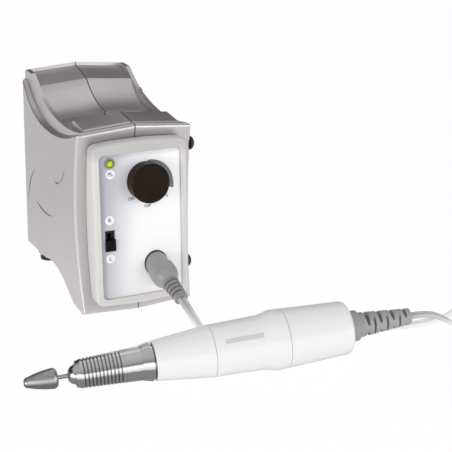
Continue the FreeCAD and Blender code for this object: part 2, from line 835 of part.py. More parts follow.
def shell_half(name, side):
    body = new_body(name)
    outer = (half_width + side_bulge + 1) * side
    spread = (half_width + side_bulge + 1) / half_width

    seam = outline(body, name + "_seam", "YZ_Plane", side_outline(0))
    flank = outline(body, name + "_flank", "YZ_Plane", side_outline(spread), outer)
    loft(body, name + "_block", [seam, flank])

    ends = side_bulge_height * 2
    barrel = outline(body, name + "_barrel", "XZ_Plane", mirrored([
        (half_width, 0 * ends), (half_width + 12, 0 * ends), (half_width + 12, ends),
        (half_width, ends, -side_bulge)], side), -roof_line)
    bulge = cut(body, name + "_bulge", barrel, roof_line * 2, True)
    fillet(body, name + "_perimeter", bulge, is_perimeter, perimeter_round)

    shoulder = outline(body, name + "_shoulder", "YZ_Plane", shoulder_outline(0 * spread),
                       shoulder_half_width * side)
    shoulder_out = outline(body, name + "_shoulder_out", "YZ_Plane",
                           shoulder_outline(shoulder_slant), outer * 1.02)
    loft(body, name + "_recess", [shoulder, shoulder_out], True)

    spot = cradle_half_width * side
    hollow_seam = outline(body, name + "_cradle_seam", "YZ_Plane", cradle_outline(0, roof_line))
    hollow_end = outline(body, name + "_cradle_end", "YZ_Plane",
                         cradle_outline(cradle_half_width / half_width, roof_line), spot)
    cradle = loft(body, name + "_cradle", [hollow_seam, hollow_end], True)
    fillet(body, name + "_ledge", cradle, is_ledge, ledge_round)
    block_seam = outline(body, name + "_block_seam", "YZ_Plane", block_outline(0))
    block_end = outline(body, name + "_block_end", "YZ_Plane",
                        block_outline(block_half_width / half_width), block_half_width * side)
    loft(body, name + "_front_block", [block_seam, block_end])

    inside = cradle_half_width
    upper = outline(body, name + "_upper_hollow", "YZ_Plane", cavity_outline(None))
    cut(body, name + "_upper_cavity", upper, inside, side > 0)
    lower = outline(body, name + "_lower_hollow", "YZ_Plane",
                    cavity_outline(shoulder_mid_height - shell_wall - 1))
    cut(body, name + "_lower_cavity", lower, half_width - shell_wall + 0.4, side > 0)

    front = outline(body, name + "_front_hole", "XZ_Plane", mirrored(
        rectangle(0 * inside, front_opening_half, front_opening_bottom, front_opening_top), side))
    cut(body, name + "_front_opening", front, front_top_back + front_hollow + 1)
    rear = outline(body, name + "_rear_hole", "XZ_Plane", mirrored(
        rectangle(0 * inside, rear_opening_half, rear_opening_bottom, rear_opening_top), side),
        -(rear_inner_back - 2))
    cut(body, name + "_rear_opening", rear, rear_foot_back - rear_inner_back + 6)

    posts = circles(body, name + "_bosses", "YZ_Plane", screw_places, boss_radius)
    pad(body, name + "_screw_bosses", posts, half_width - shell_wall + 0.6, side < 0)
    if side > 0:
        holes = circles(body, name + "_screw_hole", "YZ_Plane", screw_places,
                        shell_screw_radius + running_gap)
        cut(body, name + "_screw_holes", holes, half_width + side_bulge + 1, True)
        wells = circles(body, name + "_screw_well", "YZ_Plane", screw_places,
                        shell_screw_head + cover_gap, shell_screw_right)
        cut(body, name + "_screw_wells", wells, half_width, True)
    else:
        holes = circles(body, name + "_screw_hole", "YZ_Plane", screw_places,
                        shell_screw_radius + running_gap)
        cut(body, name + "_screw_holes", holes, 1 - shell_screw_left)

    pods = circles(body, name + "_pod", "XY_Plane", [(rear_foot_side * side, rear_foot_place)],
                   pod_radius, rear_foot_thickness)
    pod = pad(body, name + "_rear_pod", pods, floor_height - rear_foot_thickness - 1)
    fillet(body, name + "_pod_round", pod, lambda edge: is_pod_rim(edge), perimeter_round)

    screws = circles(body, name + "_core_screw", "XY_Plane",
                     [(transformer_screw_side * side, core_middle_back)],
                     transformer_screw_radius + running_gap, floor_height + 1)
    cut(body, name + "_core_screw_hole", screws, shell_wall + 1)
    leaf_plane = (half_width + side_bulge - leaf_depth) * side
    for i, (start, end, bow) in enumerate(leaves):
        leaf = outline(body, "%s_leaf_%d" % (name, i), "YZ_Plane", [
            (start[0], start[1], leaf_width - bow), (end[0], end[1], bow)], leaf_plane)
        cut(body, "%s_leaf_cut_%d" % (name, i), leaf, leaf_depth * 4, side > 0)
    put(body, box_frame)
    return body


def is_perimeter(edge):
    middle = edge.valueAt((edge.FirstParameter + edge.LastParameter) / 2)
    ends = [vertex.Point for vertex in edge.Vertexes]
    if max(abs(end.x) for end in ends) < 0.01:
        return False
    hollow = plain(front_top_back) + plain(front_hollow)
    front = all(end.y < hollow for end in ends) and middle.y < hollow
    behind = plain(rear_top_back) - plain(rear_hollow) - 1
    rear = all(end.y > behind for end in ends) and middle.y > behind
    return front or rear


def is_ledge(edge):
    ends = [vertex.Point for vertex in edge.Vertexes]
    proud = all(abs(end.x) > plain(half_width) + 0.2 for end in ends)
    high = all(end.z > plain(shoulder_mid_height) - 5 for end in ends)
    back = all(end.y > plain(front_top_back) + 0.8 for end in ends)
    return len(ends) == 2 and proud and high and back and edge.Length > 10


def is_pod_rim(edge):
    level = plain(rear_foot_thickness)
    flat = all(abs(vertex.Z - level) < 0.01 for vertex in edge.Vertexes)
    return flat and abs(edge.CenterOfMass.z - level) < 0.01


def along(place, start):
    return "%s * %s" % (place, place_words(start, 0, 0, 0, 90, 0))


def bar(name, place, radius, start, length):
    piece = cylinder(name, radius, length)
    piece.setExpression("Placement", along(place, start))
    return piece


def block_at(name, left, front, low, width, depth, height):
    return put_local(brick(name, width, depth, height), left, front, low)


def in_frame(piece, frame):
    piece.setExpression("Placement", frame)
    return piece


# Panel, bezel and the controls
def to_panel(back, up):
    reach = back - panel_foot_back
    return (reach * cosine(panel_lean) - up * sine(panel_lean),
            reach * sine(panel_lean) + up * cosine(panel_lean))


def crowned_rectangle(half, low, high, corner, crown):
    points = rounded_rectangle(half, low, high, corner)
    points[0] = (points[0][0], points[0][1], crown)
    points[4] = (points[4][0], points[4][1], crown)
    return points


def bezel():
    name = "bezel"
    body = new_body(name)
    edge = seat_gap + bezel_rim
    outer = outline(body, name + "_outer", "XZ_Plane", crowned_rectangle(
        panel_half_width + edge, panel_bottom - edge, panel_top + seat_gap + bezel_top_rim,
        bezel_corner, bezel_crown), bezel_proud)
    ring = pad(body, name + "_ring", outer, front_hollow * 3, True)
    fillet(body, name + "_edge", ring, is_bezel_edge, bezel_edge_round)
    inner = outline(body, name + "_inner", "XZ_Plane", crowned_rectangle(
        panel_half_width - bezel_seat, panel_bottom + bezel_seat, panel_top - bezel_top_seat,
        panel_corner, window_crown), bezel_proud)
    cut(body, name + "_window", inner, front_hollow * 4)
    seat = outline(body, name + "_seat", "XZ_Plane", rounded_rectangle(
        panel_half_width + seat_gap, panel_bottom - seat_gap, panel_top + seat_gap,
        panel_corner + seat_gap), bezel_proud)
    cut(body, name + "_recess", seat, bezel_proud + panel_thickness + seat_gap)
    low = to_panel(-cover_gap, front_lip_height)
    high = to_panel(front_top_back - cover_gap, front_top_height)
    behind = outline(body, name + "_back", "YZ_Plane", [
        low, (low[0] + half_width, low[1]), (high[0] + half_width, high[1]),
        (high[0], high[1], -front_hollow)], -half_width)
    cut(body, name + "_back_trim", behind, half_width * 2, True)
    put(body, panel_frame)


def is_bezel_edge(edge):
    return all(abs(vertex.Y + plain(bezel_proud)) < 0.01 for vertex in edge.Vertexes)


post_spots = [(post_side, post_low), (-post_side, post_low),
              (post_side, post_high), (-post_side, post_high)]
plug_place = place_words(plug_side, 0, plug_up, plug_heading, plug_droop, 0)


def front_panel():
    name = "front_panel"
    body = new_body("panel_plate")
    plate = outline(body, name + "_shape", "XZ_Plane", rounded_rectangle(
        panel_half_width, panel_bottom, panel_top, panel_corner), -panel_thickness)
    pad(body, name + "_plate", plate, panel_thickness)
    posts = circles(body, name + "_post", "XZ_Plane", post_spots, post_radius, -panel_thickness)
    pad(body, name + "_posts", posts, post_length, True)
    pilots = circles(body, name + "_pilot", "XZ_Plane", post_spots,
                     board_screw_radius + running_gap, -(panel_thickness + post_length))
    cut(body, name + "_pilots", pilots, board_screw_length, True)
    lamp = circles(body, name + "_lamp", "XZ_Plane", [(lamp_side, lamp_up)],
                   lamp_radius + seat_gap)
    cut(body, name + "_lamp_hole", lamp, panel_thickness + 1)
    pot = circles(body, name + "_pot", "XZ_Plane", [(knob_side, knob_up)],
                  pot_bush_radius + seat_gap)
    cut(body, name + "_pot_hole", pot, panel_thickness + 1)
    gap = seat_gap * 2
    slot = outline(body, name + "_slot", "XZ_Plane", rectangle(
        slider_side - slider_width / 2 - gap, slider_side + slider_width / 2 + gap,
        slider_rest_up - slider_height / 2 - gap,
        slider_rest_up + slider_height / 2 + slider_travel + gap))
    cut(body, name + "_slider_slot", slot, panel_thickness + 1)
    hole = bar(name + "_plug_hole", plug_place, plug_radius + socket_gap, -plug_radius,
               plug_radius * 2)
    in_frame(less(name, body, [hole]), panel_frame)


def panel_turned(name, points, side, up):
    body = turned(name, points)
    put(body, panel_frame, side, 0, up, -90)
    return body


def knob():
    shaft = pot_shaft_radius + running_gap / 2
    start = cover_gap
    front = start + knob_height
    cap = turned("knob_cap", [
        (start, knob_hollow_radius), (start, knob_radius), (start + knob_skirt, knob_radius),
        (front - knob_bevel, knob_front_radius), (front, knob_front_radius - knob_bevel),
        (front, 0 * front), (start + knob_bore_depth, 0 * front), (start + knob_bore_depth, shaft),
        (start + knob_hollow_depth, shaft), (start + knob_hollow_depth, knob_hollow_radius)])
    pointer = block_at("knob_pointer", front - seat_gap, -pointer_width / 2,
                       knob_bevel + 0.3 - knob_front_radius, pointer_height + seat_gap,
                       pointer_width, pointer_length)
    put(joined("speed_knob", [cap, pointer]), panel_frame, knob_side, 0, knob_up, -90)


def potentiometer():
    back = panel_thickness + seat_gap
    shaft = pot_shaft_radius
    panel_turned("pot_shaft", [
        (-(back + pot_body_depth - 2), 0 * shaft), (-(back + pot_body_depth - 2), shaft),
        (cover_gap + knob_bore_depth - seat_gap, shaft),
        (cover_gap + knob_bore_depth - seat_gap, 0 * shaft)], knob_side, knob_up)
    bore = shaft + running_gap
    panel_turned("potentiometer", [
        (pot_bush_proud, bore), (pot_bush_proud, pot_bush_radius), (-back, pot_bush_radius),
        (-back, pot_body_radius), (-(back + pot_body_depth), pot_body_radius),
        (-(back + pot_body_depth), bore)], knob_side, knob_up)
    name = "pot_nut"
    body = new_body(name)
    across = pot_nut_flats / root(Size(3.0, "3.0"))
    corners = []
    for i in range(6):
        turn = Size(60.0 * i, "%.1f" % (60.0 * i))
        corners.append((across * cosine(turn), across * sine(turn)))
    shape = outline(body, name + "_shape", "YZ_Plane", corners, running_gap)
    pad(body, name + "_hexagon", shape, pot_nut_height)
    hole = circles(body, name + "_hole", "YZ_Plane", [(0 * across, 0 * across)],
                   pot_bush_radius + running_gap / 2)
    cut(body, name + "_bore", hole, pot_nut_height * 2, True)
    put(body, panel_frame, knob_side, 0, knob_up, -90)


def direction_switch():
    left = slider_side - slider_width / 2
    low = slider_rest_up - slider_height / 2
    cap_back = panel_thickness - cover_gap
    stem_left = slider_side - slider_stem_width / 2
    stem_low = slider_rest_up - slider_stem_height / 2
    cap = block_at("slider_cap", left, -slider_proud, low, slider_width,
                   slider_proud + cap_back, slider_height)
    stem = block_at("slider_stem", stem_left, cap_back - seat_gap, stem_low, slider_stem_width,
                    slider_stem_length + seat_gap, slider_stem_height)
    in_frame(joined("direction_slider", [cap, stem]), panel_frame)
    front = panel_thickness + seat_gap
    centre = slider_rest_up + slider_travel / 2
    case = block_at("switch_case", slider_side - switch_width / 2, front,
                    centre - switch_height / 2, switch_width, switch_depth, switch_height)
    gap = seat_gap * 2
    track = block_at("switch_track", stem_left - gap, front - 1, stem_low - gap,
                     slider_stem_width + gap * 2, slider_stem_length + 2,
                     slider_stem_height + slider_travel + gap * 2)
    in_frame(less("direction_switch", case, [track]), panel_frame)


def power_lamp():
    back = panel_thickness + seat_gap
    zero = 0 * lamp_radius
    dome = lamp_radius * (root(Size(0.5, "0.5")) - 1)
    panel_turned("power_lamp", [
        (-lamp_length, zero), (-lamp_length, lamp_radius), (-(back + 1.2), lamp_radius),
        (-(back + 1.2), lamp_flange), (-back, lamp_flange), (-back, lamp_radius),
        (lamp_proud - lamp_radius, lamp_radius, dome), (lamp_proud, zero)], lamp_side, lamp_up)
    bore = lamp_radius + seat_gap
    panel_turned("lamp_ring", [
        (zero, bore), (zero, bore + lamp_ring_width),
        (lamp_ring_height, bore + lamp_ring_width - 0.2), (lamp_ring_height, bore)],
        lamp_side, lamp_up)


# Handpiece socket and its plug
def ring_spots(radius, count):
    spots = []
    for i in range(count):
        turn = Size(360.0 * i / count + 90, "%.1f" % (360.0 * i / count + 90))
        spots.append((radius * cosine(turn), radius * sine(turn)))
    return spots


def handpiece_socket():
    back = panel_thickness + seat_gap
    pins = ring_spots(plug_pin_ring, 3)
    tube = bar("socket_tube", plug_place, plug_radius + socket_gap + socket_wall,
               -socket_depth, socket_depth * 2)
    bore = bar("socket_bore", plug_place, plug_radius + socket_gap, -(plug_sunk + seat_gap),
               socket_depth * 3)
    spare = block_at("socket_spare", plug_side - plug_radius * 3, back - plug_radius * 6,
                     plug_up - plug_radius * 4, plug_radius * 6, plug_radius * 6,
                     plug_radius * 8)
    cuts = [bore, spare]
    tags = []
    for i, pin in enumerate(pins):
        spot = "%s * %s" % (plug_place, place_words(0, pin[0], pin[1]))
        cuts.append(bar("socket_hole_%d" % i, spot, plug_pin_radius + seat_gap,
                        -(plug_sunk + plug_pin_length + 0.5), plug_pin_length + 2))
        tags.append(bar("socket_tag_%d" % i, spot, plug_pin_radius, -(socket_depth + 1.4), 1.4))
    in_frame(less("handpiece_socket", tube, cuts), panel_frame)
    in_frame(group("socket_contacts", tags), panel_frame)


def plug():
    zero = 0 * plug_radius
    shape = turned("plug_turned", [
        (-plug_sunk, zero), (-plug_sunk, plug_radius), (plug_collar_length, plug_radius),
        (plug_collar_length + 1, plug_body_radius), (plug_waist_place, plug_body_radius, -0.4),
        (plug_length - 0.8, plug_neck_radius), (plug_length, plug_neck_radius - 0.8),
        (plug_length, zero)])
    flats = []
    for side in (1, -1):
        low = (plug_body_radius - plug_flat) if side > 0 else (-plug_body_radius - 2)
        flats.append(block_at("plug_flat_%d" % side, zero + 2, -plug_body_radius * 2, low,
                              plug_length, plug_body_radius * 4, plug_flat + 2))
    in_frame(less("plug_body", shape, flats), plug_frame)
    pins = []
    for i, pin in enumerate(ring_spots(plug_pin_ring, 3)):
        spot = place_words(0, pin[0], pin[1])
        pins.append(bar("plug_pin_%d" % i, spot, plug_pin_radius,
                        -(plug_sunk + plug_pin_length), plug_pin_length))
    in_frame(group("plug_pins", pins), plug_frame)
    slot_count = 4
    points = [(plug_length, zero), (plug_length, plug_boot_radius)]
    pitch = plug_boot_length / (slot_count + 1)
    fall = (plug_boot_radius - plug_boot_end_radius) / slot_count
    for i in range(slot_count):
        place = plug_length + pitch * (i + 0.6)
        outer = plug_boot_radius - fall * i
        points += [(place, outer), (place, outer - 1), (place + pitch * 0.5, outer - 1),
                   (place + pitch * 0.5, outer - fall / 2)]
    points += [(plug_length + plug_boot_length, plug_boot_end_radius),
               (plug_length + plug_boot_length, zero)]
    turned("plug_boot", points, plug_frame)


# Circuit board and what stands on it
board_front = panel_thickness + post_length
board_back = board_front + board_thickness


def circuit_board():
    plate = block_at("board_plate", -board_half_width, board_front, board_bottom,
                     board_half_width * 2, board_thickness, board_top - board_bottom)
    holes = []
    screws = []
    for i, spot in enumerate(post_spots):
        place = place_words(spot[0], board_back, spot[1], -90)
        holes.append(bar("board_hole_%d" % i, place, board_screw_radius + seat_gap,
                         -board_thickness, board_thickness * 3))
        shaft = bar("board_screw_shaft_%d" % i, place, board_screw_radius, -seat_gap,
                    board_screw_length)
        head = bar("board_screw_head_%d" % i, place, board_screw_head,
                   -board_screw_head_height - seat_gap, board_screw_head_height)
        screws.append(joined("board_screw_%d" % i, [shaft, head]))
    in_frame(less("circuit_board", plate, holes), panel_frame)
    in_frame(group("board_screws", screws), panel_frame)
    base = board_back + seat_gap
    in_frame(bar("capacitor", place_words(capacitor_side, base, capacitor_up, 90),
                 capacitor_radius, 0 * base, capacitor_length),
             "%s * %s" % (panel_frame, along(place_words(capacitor_side, base, capacitor_up, 90),
                                             0 * base)))
    block_in_panel("relay", relay_side, base, relay_up, relay_width, relay_depth, relay_height)
    block_in_panel("rectifier", rectifier_side, base, rectifier_up, rectifier_width,
                   rectifier_depth, rectifier_height)
    sink = [block_at("sink_plate", sink_side - sink_width / 2, base, sink_up - sink_height / 2,
                     sink_width, sink_base, sink_height)]
    fin_count = 5
    pitch = (sink_width - sink_fin_thickness) / (fin_count - 1)
    for i in range(fin_count):
        sink.append(block_at("sink_fin_%d" % i, sink_side - sink_width / 2 + pitch * i,
                             base + sink_base - seat_gap, sink_up - sink_height / 2,
                             sink_fin_thickness, sink_fin_depth, sink_height))
    in_frame(joined("heat_sink", sink), panel_frame)
    block_in_panel("power_transistor",
                   sink_side - sink_width / 2 - transistor_depth / 2 - running_gap, base, sink_up,
                   transistor_depth, transistor_width, transistor_height)


def block_in_panel(name, side, front, up, width, depth, height):
    piece = brick(name, width, depth, height)
    put(piece, panel_frame, side - width / 2, front, up - height / 2)
    return piece


# Transformer on the floor of the box
def transformer():
    base = floor_height + seat_gap
    front = core_middle_back - core_depth / 2
    plate = block_at("frame_plate", -flange_half_width, front, base, flange_half_width * 2,
                     core_depth, flange_thickness)
    holes = []
    screws = []
    for i, side in enumerate((1, -1)):
        spot = place_words(transformer_screw_side * side, core_middle_back,
                           base + flange_thickness, 0, -90)
        holes.append(bar("frame_hole_%d" % i, spot, transformer_screw_radius + seat_gap,
                         -flange_thickness * 2, flange_thickness * 3))
        shaft = bar("core_screw_shaft_%d" % i, spot, transformer_screw_radius,
                    -(flange_thickness + shell_wall), flange_thickness + shell_wall + seat_gap)
        head = bar("core_screw_head_%d" % i, spot, transformer_screw_head, seat_gap / 2, 1.8)
        screws.append(joined("core_screw_%d" % i, [shaft, head]))
    in_frame(less("transformer_frame", plate, holes), box_frame)
    in_frame(group("transformer_screws", screws), box_frame)

    low = base + flange_thickness + seat_gap
    core = block_at("core_block", -core_half_width, front, low, core_half_width * 2, core_depth,
                    core_height)
    window_low = low + (core_height - window_height) / 2
    windows = []
    for i, left in enumerate((limb_half_width, -limb_half_width - window_width)):
        windows.append(block_at("core_window_%d" % i, left, front - 1, window_low, window_width,
                                core_depth + 2, window_height))
    in_frame(less("transformer_core", core, windows), box_frame)

    reach = limb_half_width + window_width - seat_gap
    coil = block_at("coil_block", -reach, front - coil_overhang, window_low + seat_gap, reach * 2,
                    core_depth + coil_overhang * 2, window_height - seat_gap * 2)
    eye = block_at("coil_eye", -(limb_half_width + seat_gap), front - seat_gap,
                   window_low - 1, (limb_half_width + seat_gap) * 2, core_depth + seat_gap * 2,
                   window_height + 2)
    in_frame(less("transformer_coil", coil, [eye]), box_frame)


# Rear plate with the mains inlet and the fuse
rear_plate_back = rear_inner_back - seat_gap


def rear_plate():
    half = rear_opening_half + rear_plate_lap
    low = rear_opening_bottom - rear_plate_lap
    plate = block_at("plate_block", -half, rear_plate_back - rear_plate_thickness, low, half * 2,
                     rear_plate_thickness, rear_opening_top + rear_plate_lap - low)
    cuts = [block_at("inlet_hole", -inlet_width / 2 - seat_gap, rear_plate_back - 6,
                     inlet_up - inlet_height / 2 - seat_gap, inlet_width + seat_gap * 2,
                     inlet_depth, inlet_height + seat_gap * 2)]
    fuse_place = place_words(fuse_side, rear_plate_back, fuse_up, 90)
    cuts.append(bar("fuse_hole", fuse_place, fuse_holder_radius + seat_gap, -6, 12))
    vent_count = 5
    for i in range(vent_count):
        cuts.append(block_at("vent_%d" % i, vent_side - vent_width / 2 + 1, rear_plate_back - 6,
                             vent_up + vent_pitch * i, vent_width, inlet_depth, vent_slot))
    in_frame(less("rear_plate", plate, cuts), box_frame)

    lap = inlet_flange_lap
    body = block_at("inlet_body", -inlet_width / 2, rear_plate_back - inlet_depth,
                    inlet_up - inlet_height / 2, inlet_width, inlet_depth + 0.5, inlet_height)
    flange = block_at("inlet_flange", -inlet_width / 2 - lap, rear_plate_back + running_gap,
                      inlet_up - inlet_height / 2 - lap, inlet_width + lap * 2,
                      inlet_flange_thickness, inlet_height + lap * 2)
    well = block_at("inlet_well", -inlet_width / 2 + inlet_wall,
                    rear_plate_back - inlet_depth + inlet_wall,
                    inlet_up - inlet_height / 2 + inlet_wall, inlet_width - inlet_wall * 2,
                    inlet_depth * 2, inlet_height - inlet_wall * 2)
    in_frame(less("mains_inlet", joined("inlet_shell", [body, flange]), [well]), box_frame)
    pins = []
    for i in range(3):
        side = inlet_pin_spread * (i - 1)
        rise = inlet_pin_height / 2 if i == 1 else -inlet_pin_height / 2
        pins.append(block_at("inlet_pin_%d" % i, side - inlet_pin_width / 2,
                             rear_plate_back - inlet_depth + inlet_wall,
                             inlet_up + rise - inlet_pin_height / 2, inlet_pin_width,
                             inlet_pin_length, inlet_pin_height))
    in_frame(group("inlet_pins", pins), box_frame)


def fuse_turned(name, points):
    body = turned(name, points)
    put(body, box_frame, fuse_side, rear_plate_back, fuse_up, 90)
    return body


def fuse_set():
    zero = 0 * fuse_radius
    depth = fuse_holder_length - 2
    flange = running_gap + fuse_flange_thickness
    fuse_turned("fuse_holder", [
        (-depth - 1, zero), (-depth - 1, fuse_holder_radius), (running_gap, fuse_holder_radius),
        (running_gap, fuse_flange_radius), (flange, fuse_flange_radius),
        (flange, fuse_bore_radius), (-depth, fuse_bore_radius), (-depth, zero)])
    start = -depth + seat_gap
    fuse_turned("fuse", [(start, zero), (start, fuse_radius), (start + fuse_length, fuse_radius),
                         (start + fuse_length, zero)])
    stem = start + fuse_length + seat_gap
    face = flange + seat_gap
    fuse_turned("fuse_cap", [
        (stem, zero), (stem, fuse_bore_radius - seat_gap), (face, fuse_bore_radius - seat_gap),
        (face, fuse_cap_radius), (face + fuse_cap_height, fuse_cap_radius - 0.6),
        (face + fuse_cap_height, zero)])


# Feet and shell screws
side_foot_front = size("side_foot_front", 11.5)
side_foot_rear = size("side_foot_rear", 96.0)
side_foot_low = size("side_foot_low", 24.0)
side_foot_drop = size("side_foot_drop", 14.7)
side_foot_high = front_top_height - side_foot_drop
band_foot_back = size("band_foot_back", 86.0)
band_foot_drop = size("band_foot_drop", 14.9)
band_foot_height = rear_top_height - band_foot_drop


def side_reach(height):
    part = (height - side_bulge_height) / side_bulge_height
    return half_width + side_bulge * (1 - part * part) + seat_gap * 1.5


side_foot_places = [
    (side_reach(side_foot_low), side_foot_front, side_foot_low),
    (side_reach(side_foot_high), side_foot_front, side_foot_high),
    (side_reach(side_foot_low), side_foot_rear, side_foot_low),
    (shoulder_half_width + seat_gap, band_foot_back, band_foot_height),
]


def feet():
    inner_edge = front_foot_side - front_foot_radius
    height = front_lip_height - belly_drop * (1 - inner_edge / half_width) - seat_gap
    pads = []
    for side in (1, -1):
        front = cylinder("front_foot_%d" % side, front_foot_radius, height)
        pads.append(put_local(front, front_foot_side * side, front_foot_back, 0))
        rear = cylinder("rear_foot_%d" % side, rear_foot_radius,
                        rear_foot_thickness - running_gap)
        pads.append(put_local(rear, rear_foot_side * side, rear_foot_place, 0))
    in_frame(group("base_feet", pads), box_frame)

    domes = []
    for i, spot in enumerate(side_foot_places):
        dome = turned("side_foot_%d" % i, [
            (0 * spot[0], 0 * spot[0]), (0 * spot[0], side_foot_radius),
            (side_foot_ledge, side_foot_radius, -side_foot_dome / 3),
            (side_foot_ledge + side_foot_dome, 0 * spot[0])])
        domes.append(put_local(dome, spot[0], spot[1], spot[2]))
    in_frame(group("side_feet", domes), box_frame)


def shell_screws():
    screws = []
    for i, spot in enumerate(screw_places):
        place = place_words(0, spot[0], spot[1])
        shaft = bar("shell_screw_shaft_%d" % i, place, shell_screw_radius, shell_screw_left,
                    shell_screw_right - shell_screw_left + seat_gap)
        head = bar("shell_screw_head_%d" % i, place, shell_screw_head,
                   shell_screw_right + running_gap, shell_screw_head_height)
        screws.append(joined("shell_screw_%d" % i, [shaft, head]))
    in_frame(group("shell_screws", screws), box_frame)


# Handpiece, from the bit to the flex boot
def line_between(start, end, place):
    return start[1] + (place - start[0]) * ((end[1] - start[1]) / (end[0] - start[0]))


def handpiece_housings():
    gap = seam_gap / 2
    spigot = nose_bore_radius + 3.8
    lip = cone_place + 6
    inner_lip = line_between((cone_place, cone_radius), (0, seam_radius), lip) - housing_wall
    turned("nose_housing", [
        (nose_tip_place, nose_bore_radius), (nose_tip_place, nose_tube_radius),
        (sleeve_rear, nose_tube_radius), (sleeve_rear, sleeve_rear_radius),
        (flare_start_place, flare_start_radius), (flare_start_place + 0.6, flare_start_radius + 0.3),
        (flare_place, flare_radius), (flare_place, flare_radius - 0.8),
        (cone_place - gap, flare_radius - 0.8), (cone_place - gap, spigot),
        (nose_inner_end, spigot), (nose_inner_end, nose_bore_radius)], hand_frame)
    turned("front_housing", [
        (cone_place, spigot + seat_gap), (cone_place, cone_radius), (-gap, seam_radius),
        (-gap, seam_radius - housing_wall), (lip, inner_lip), (lip, spigot + seat_gap)],
        hand_frame)
    bore = can_radius + cover_gap
    turned("middle_housing", [
        (gap, bore), (gap, seam_radius), (middle_swell_place, middle_swell_radius),
        (rest_place, rest_radius), (rear_seam - gap, rear_seam_radius), (rear_seam - gap, bore)],
        hand_frame)
    dome = rear_cap_round * (root(Size(0.5, "0.5")) - 1)
    inner = rear_cap_end - housing_wall
    hole = boot_neck_radius + seat_gap
    turned("rear_cap", [
        (rear_seam + gap, bore + 0.4), (rear_seam + gap, rear_seam_radius),
        (rear_cap_end - rear_cap_round, rear_cap_radius, dome),
        (rear_cap_end, rear_cap_radius - rear_cap_round), (rear_cap_end, hole), (inner, hole),
        (inner, bore + 0.4)], hand_frame)


boot_start = rear_cap_end + seat_gap
boot_flange_end = boot_start + boot_flange_length
boot_end = boot_flange_end + boot_length


def handpiece_boot():
    name = "handpiece_boot"
    zero = 0 * boot_start
    inner = rear_cap_end - housing_wall - seat_gap
    points = [(inner - 2.5, zero), (inner - 2.5, boot_neck_radius + 1.6),
              (inner, boot_neck_radius + 1.6), (inner, boot_neck_radius),
              (boot_start, boot_neck_radius), (boot_start, boot_flange_radius),
              (boot_flange_end, boot_flange_radius), (boot_flange_end, boot_first_radius),
              (boot_end, boot_last_radius), (boot_end, zero)]
    body = turned(name, points, hand_frame)
    notch_count = 4
    reach = boot_first_radius + 1
    notches = []
    slots = []
    for i in range(notch_count):
        place = boot_flange_end + boot_first_notch + boot_notch_pitch * i
        for side in (-1, 1):
            notches.append([
                (place - boot_notch_floor / 2, boot_core_half_height * side),
                (place + boot_notch_floor / 2, boot_core_half_height * side),
                (place + boot_notch_width / 2, reach * side),
                (place - boot_notch_width / 2, reach * side)])
            if i > 0:
                middle = place - boot_notch_pitch / 2
                slots.append([
                    (middle - boot_slot_width / 2, boot_core_half_width * side),
                    (middle + boot_slot_width / 2, boot_core_half_width * side),
                    (middle + boot_slot_width / 2, reach * side),
                    (middle - boot_slot_width / 2, reach * side)])
    across = outlines(body, name + "_notch", "XZ_Plane", notches, reach)
    cut(body, name + "_notches", across, reach * 2)
    upright = outlines(body, name + "_slot", "XY_Plane", slots, reach)
    cut(body, name + "_slots", upright, reach * 2)


def chuck():
    zero = 0 * groove_pitch
    bore = nose_tube_radius + running_gap
    front = (sleeve_bevel_place, sleeve_bevel_radius)
    back = (sleeve_rear - running_gap, sleeve_rear_radius)
    points = [(sleeve_front, bore), (sleeve_front, sleeve_front_radius), front]
    groove_count = 11
    for i in range(groove_count):
        place = sleeve_bevel_place + groove_pitch * (i + 0.55)
        first = line_between(front, back, place)
        last = line_between(front, back, place + groove_width)
        points += [(place, first), (place + groove_width * 0.2, first - groove_depth),
                   (place + groove_width * 0.8, last - groove_depth),
                   (place + groove_width, last)]
    points += [back, (back[0], bore)]
    turned("twist_sleeve", points, hand_frame)
    tip = nose_tip_place - running_gap
    turned("nose_cap", [
        (tip - nose_cap_length, nose_cap_hole),
        (tip - nose_cap_length, nose_cap_tip_radius, -nose_cap_length / 7),
        (tip, nose_tube_radius - 0.5), (tip, nose_cap_hole)], hand_frame)

    body = turned("collet_turned", [
        (collet_front, shank_radius + running_gap), (collet_front, collet_radius),
        (collet_rear, collet_radius), (collet_rear, shank_radius + running_gap)])
    slits = []
    slit_count = 3
    for i in range(slit_count):
        slit = brick("collet_slit_%d" % i, collet_slit_length, collet_radius * 2, collet_slit)
        spot = "%s * %s" % (place_words(0, 0, 0, 0, 0, 360 / slit_count * i + 90),
                            place_words(collet_front - 1, 0, -collet_slit / 2))
        slit.setExpression("Placement", spot)
        slits.append(slit)
    in_frame(less("collet", body, slits), hand_frame)
    turned("spindle", [
        (spindle_front, collet_radius + running_gap), (spindle_front, spindle_radius),
        (spindle_rear, spindle_radius), (spindle_rear, zero), (collet_rear + 1, zero),
        (collet_rear + 1, collet_radius + running_gap)], hand_frame)
    rings = []
    for i, place in enumerate((front_bearing_place, rear_bearing_place)):
        rings.append(turned("bearing_%d" % i, [
            (place, spindle_radius + running_gap), (place, nose_bore_radius - running_gap / 2),
            (place + bearing_length, nose_bore_radius - running_gap / 2),
            (place + bearing_length, spindle_radius + running_gap)]))
    in_frame(group("spindle_bearings", rings), hand_frame)


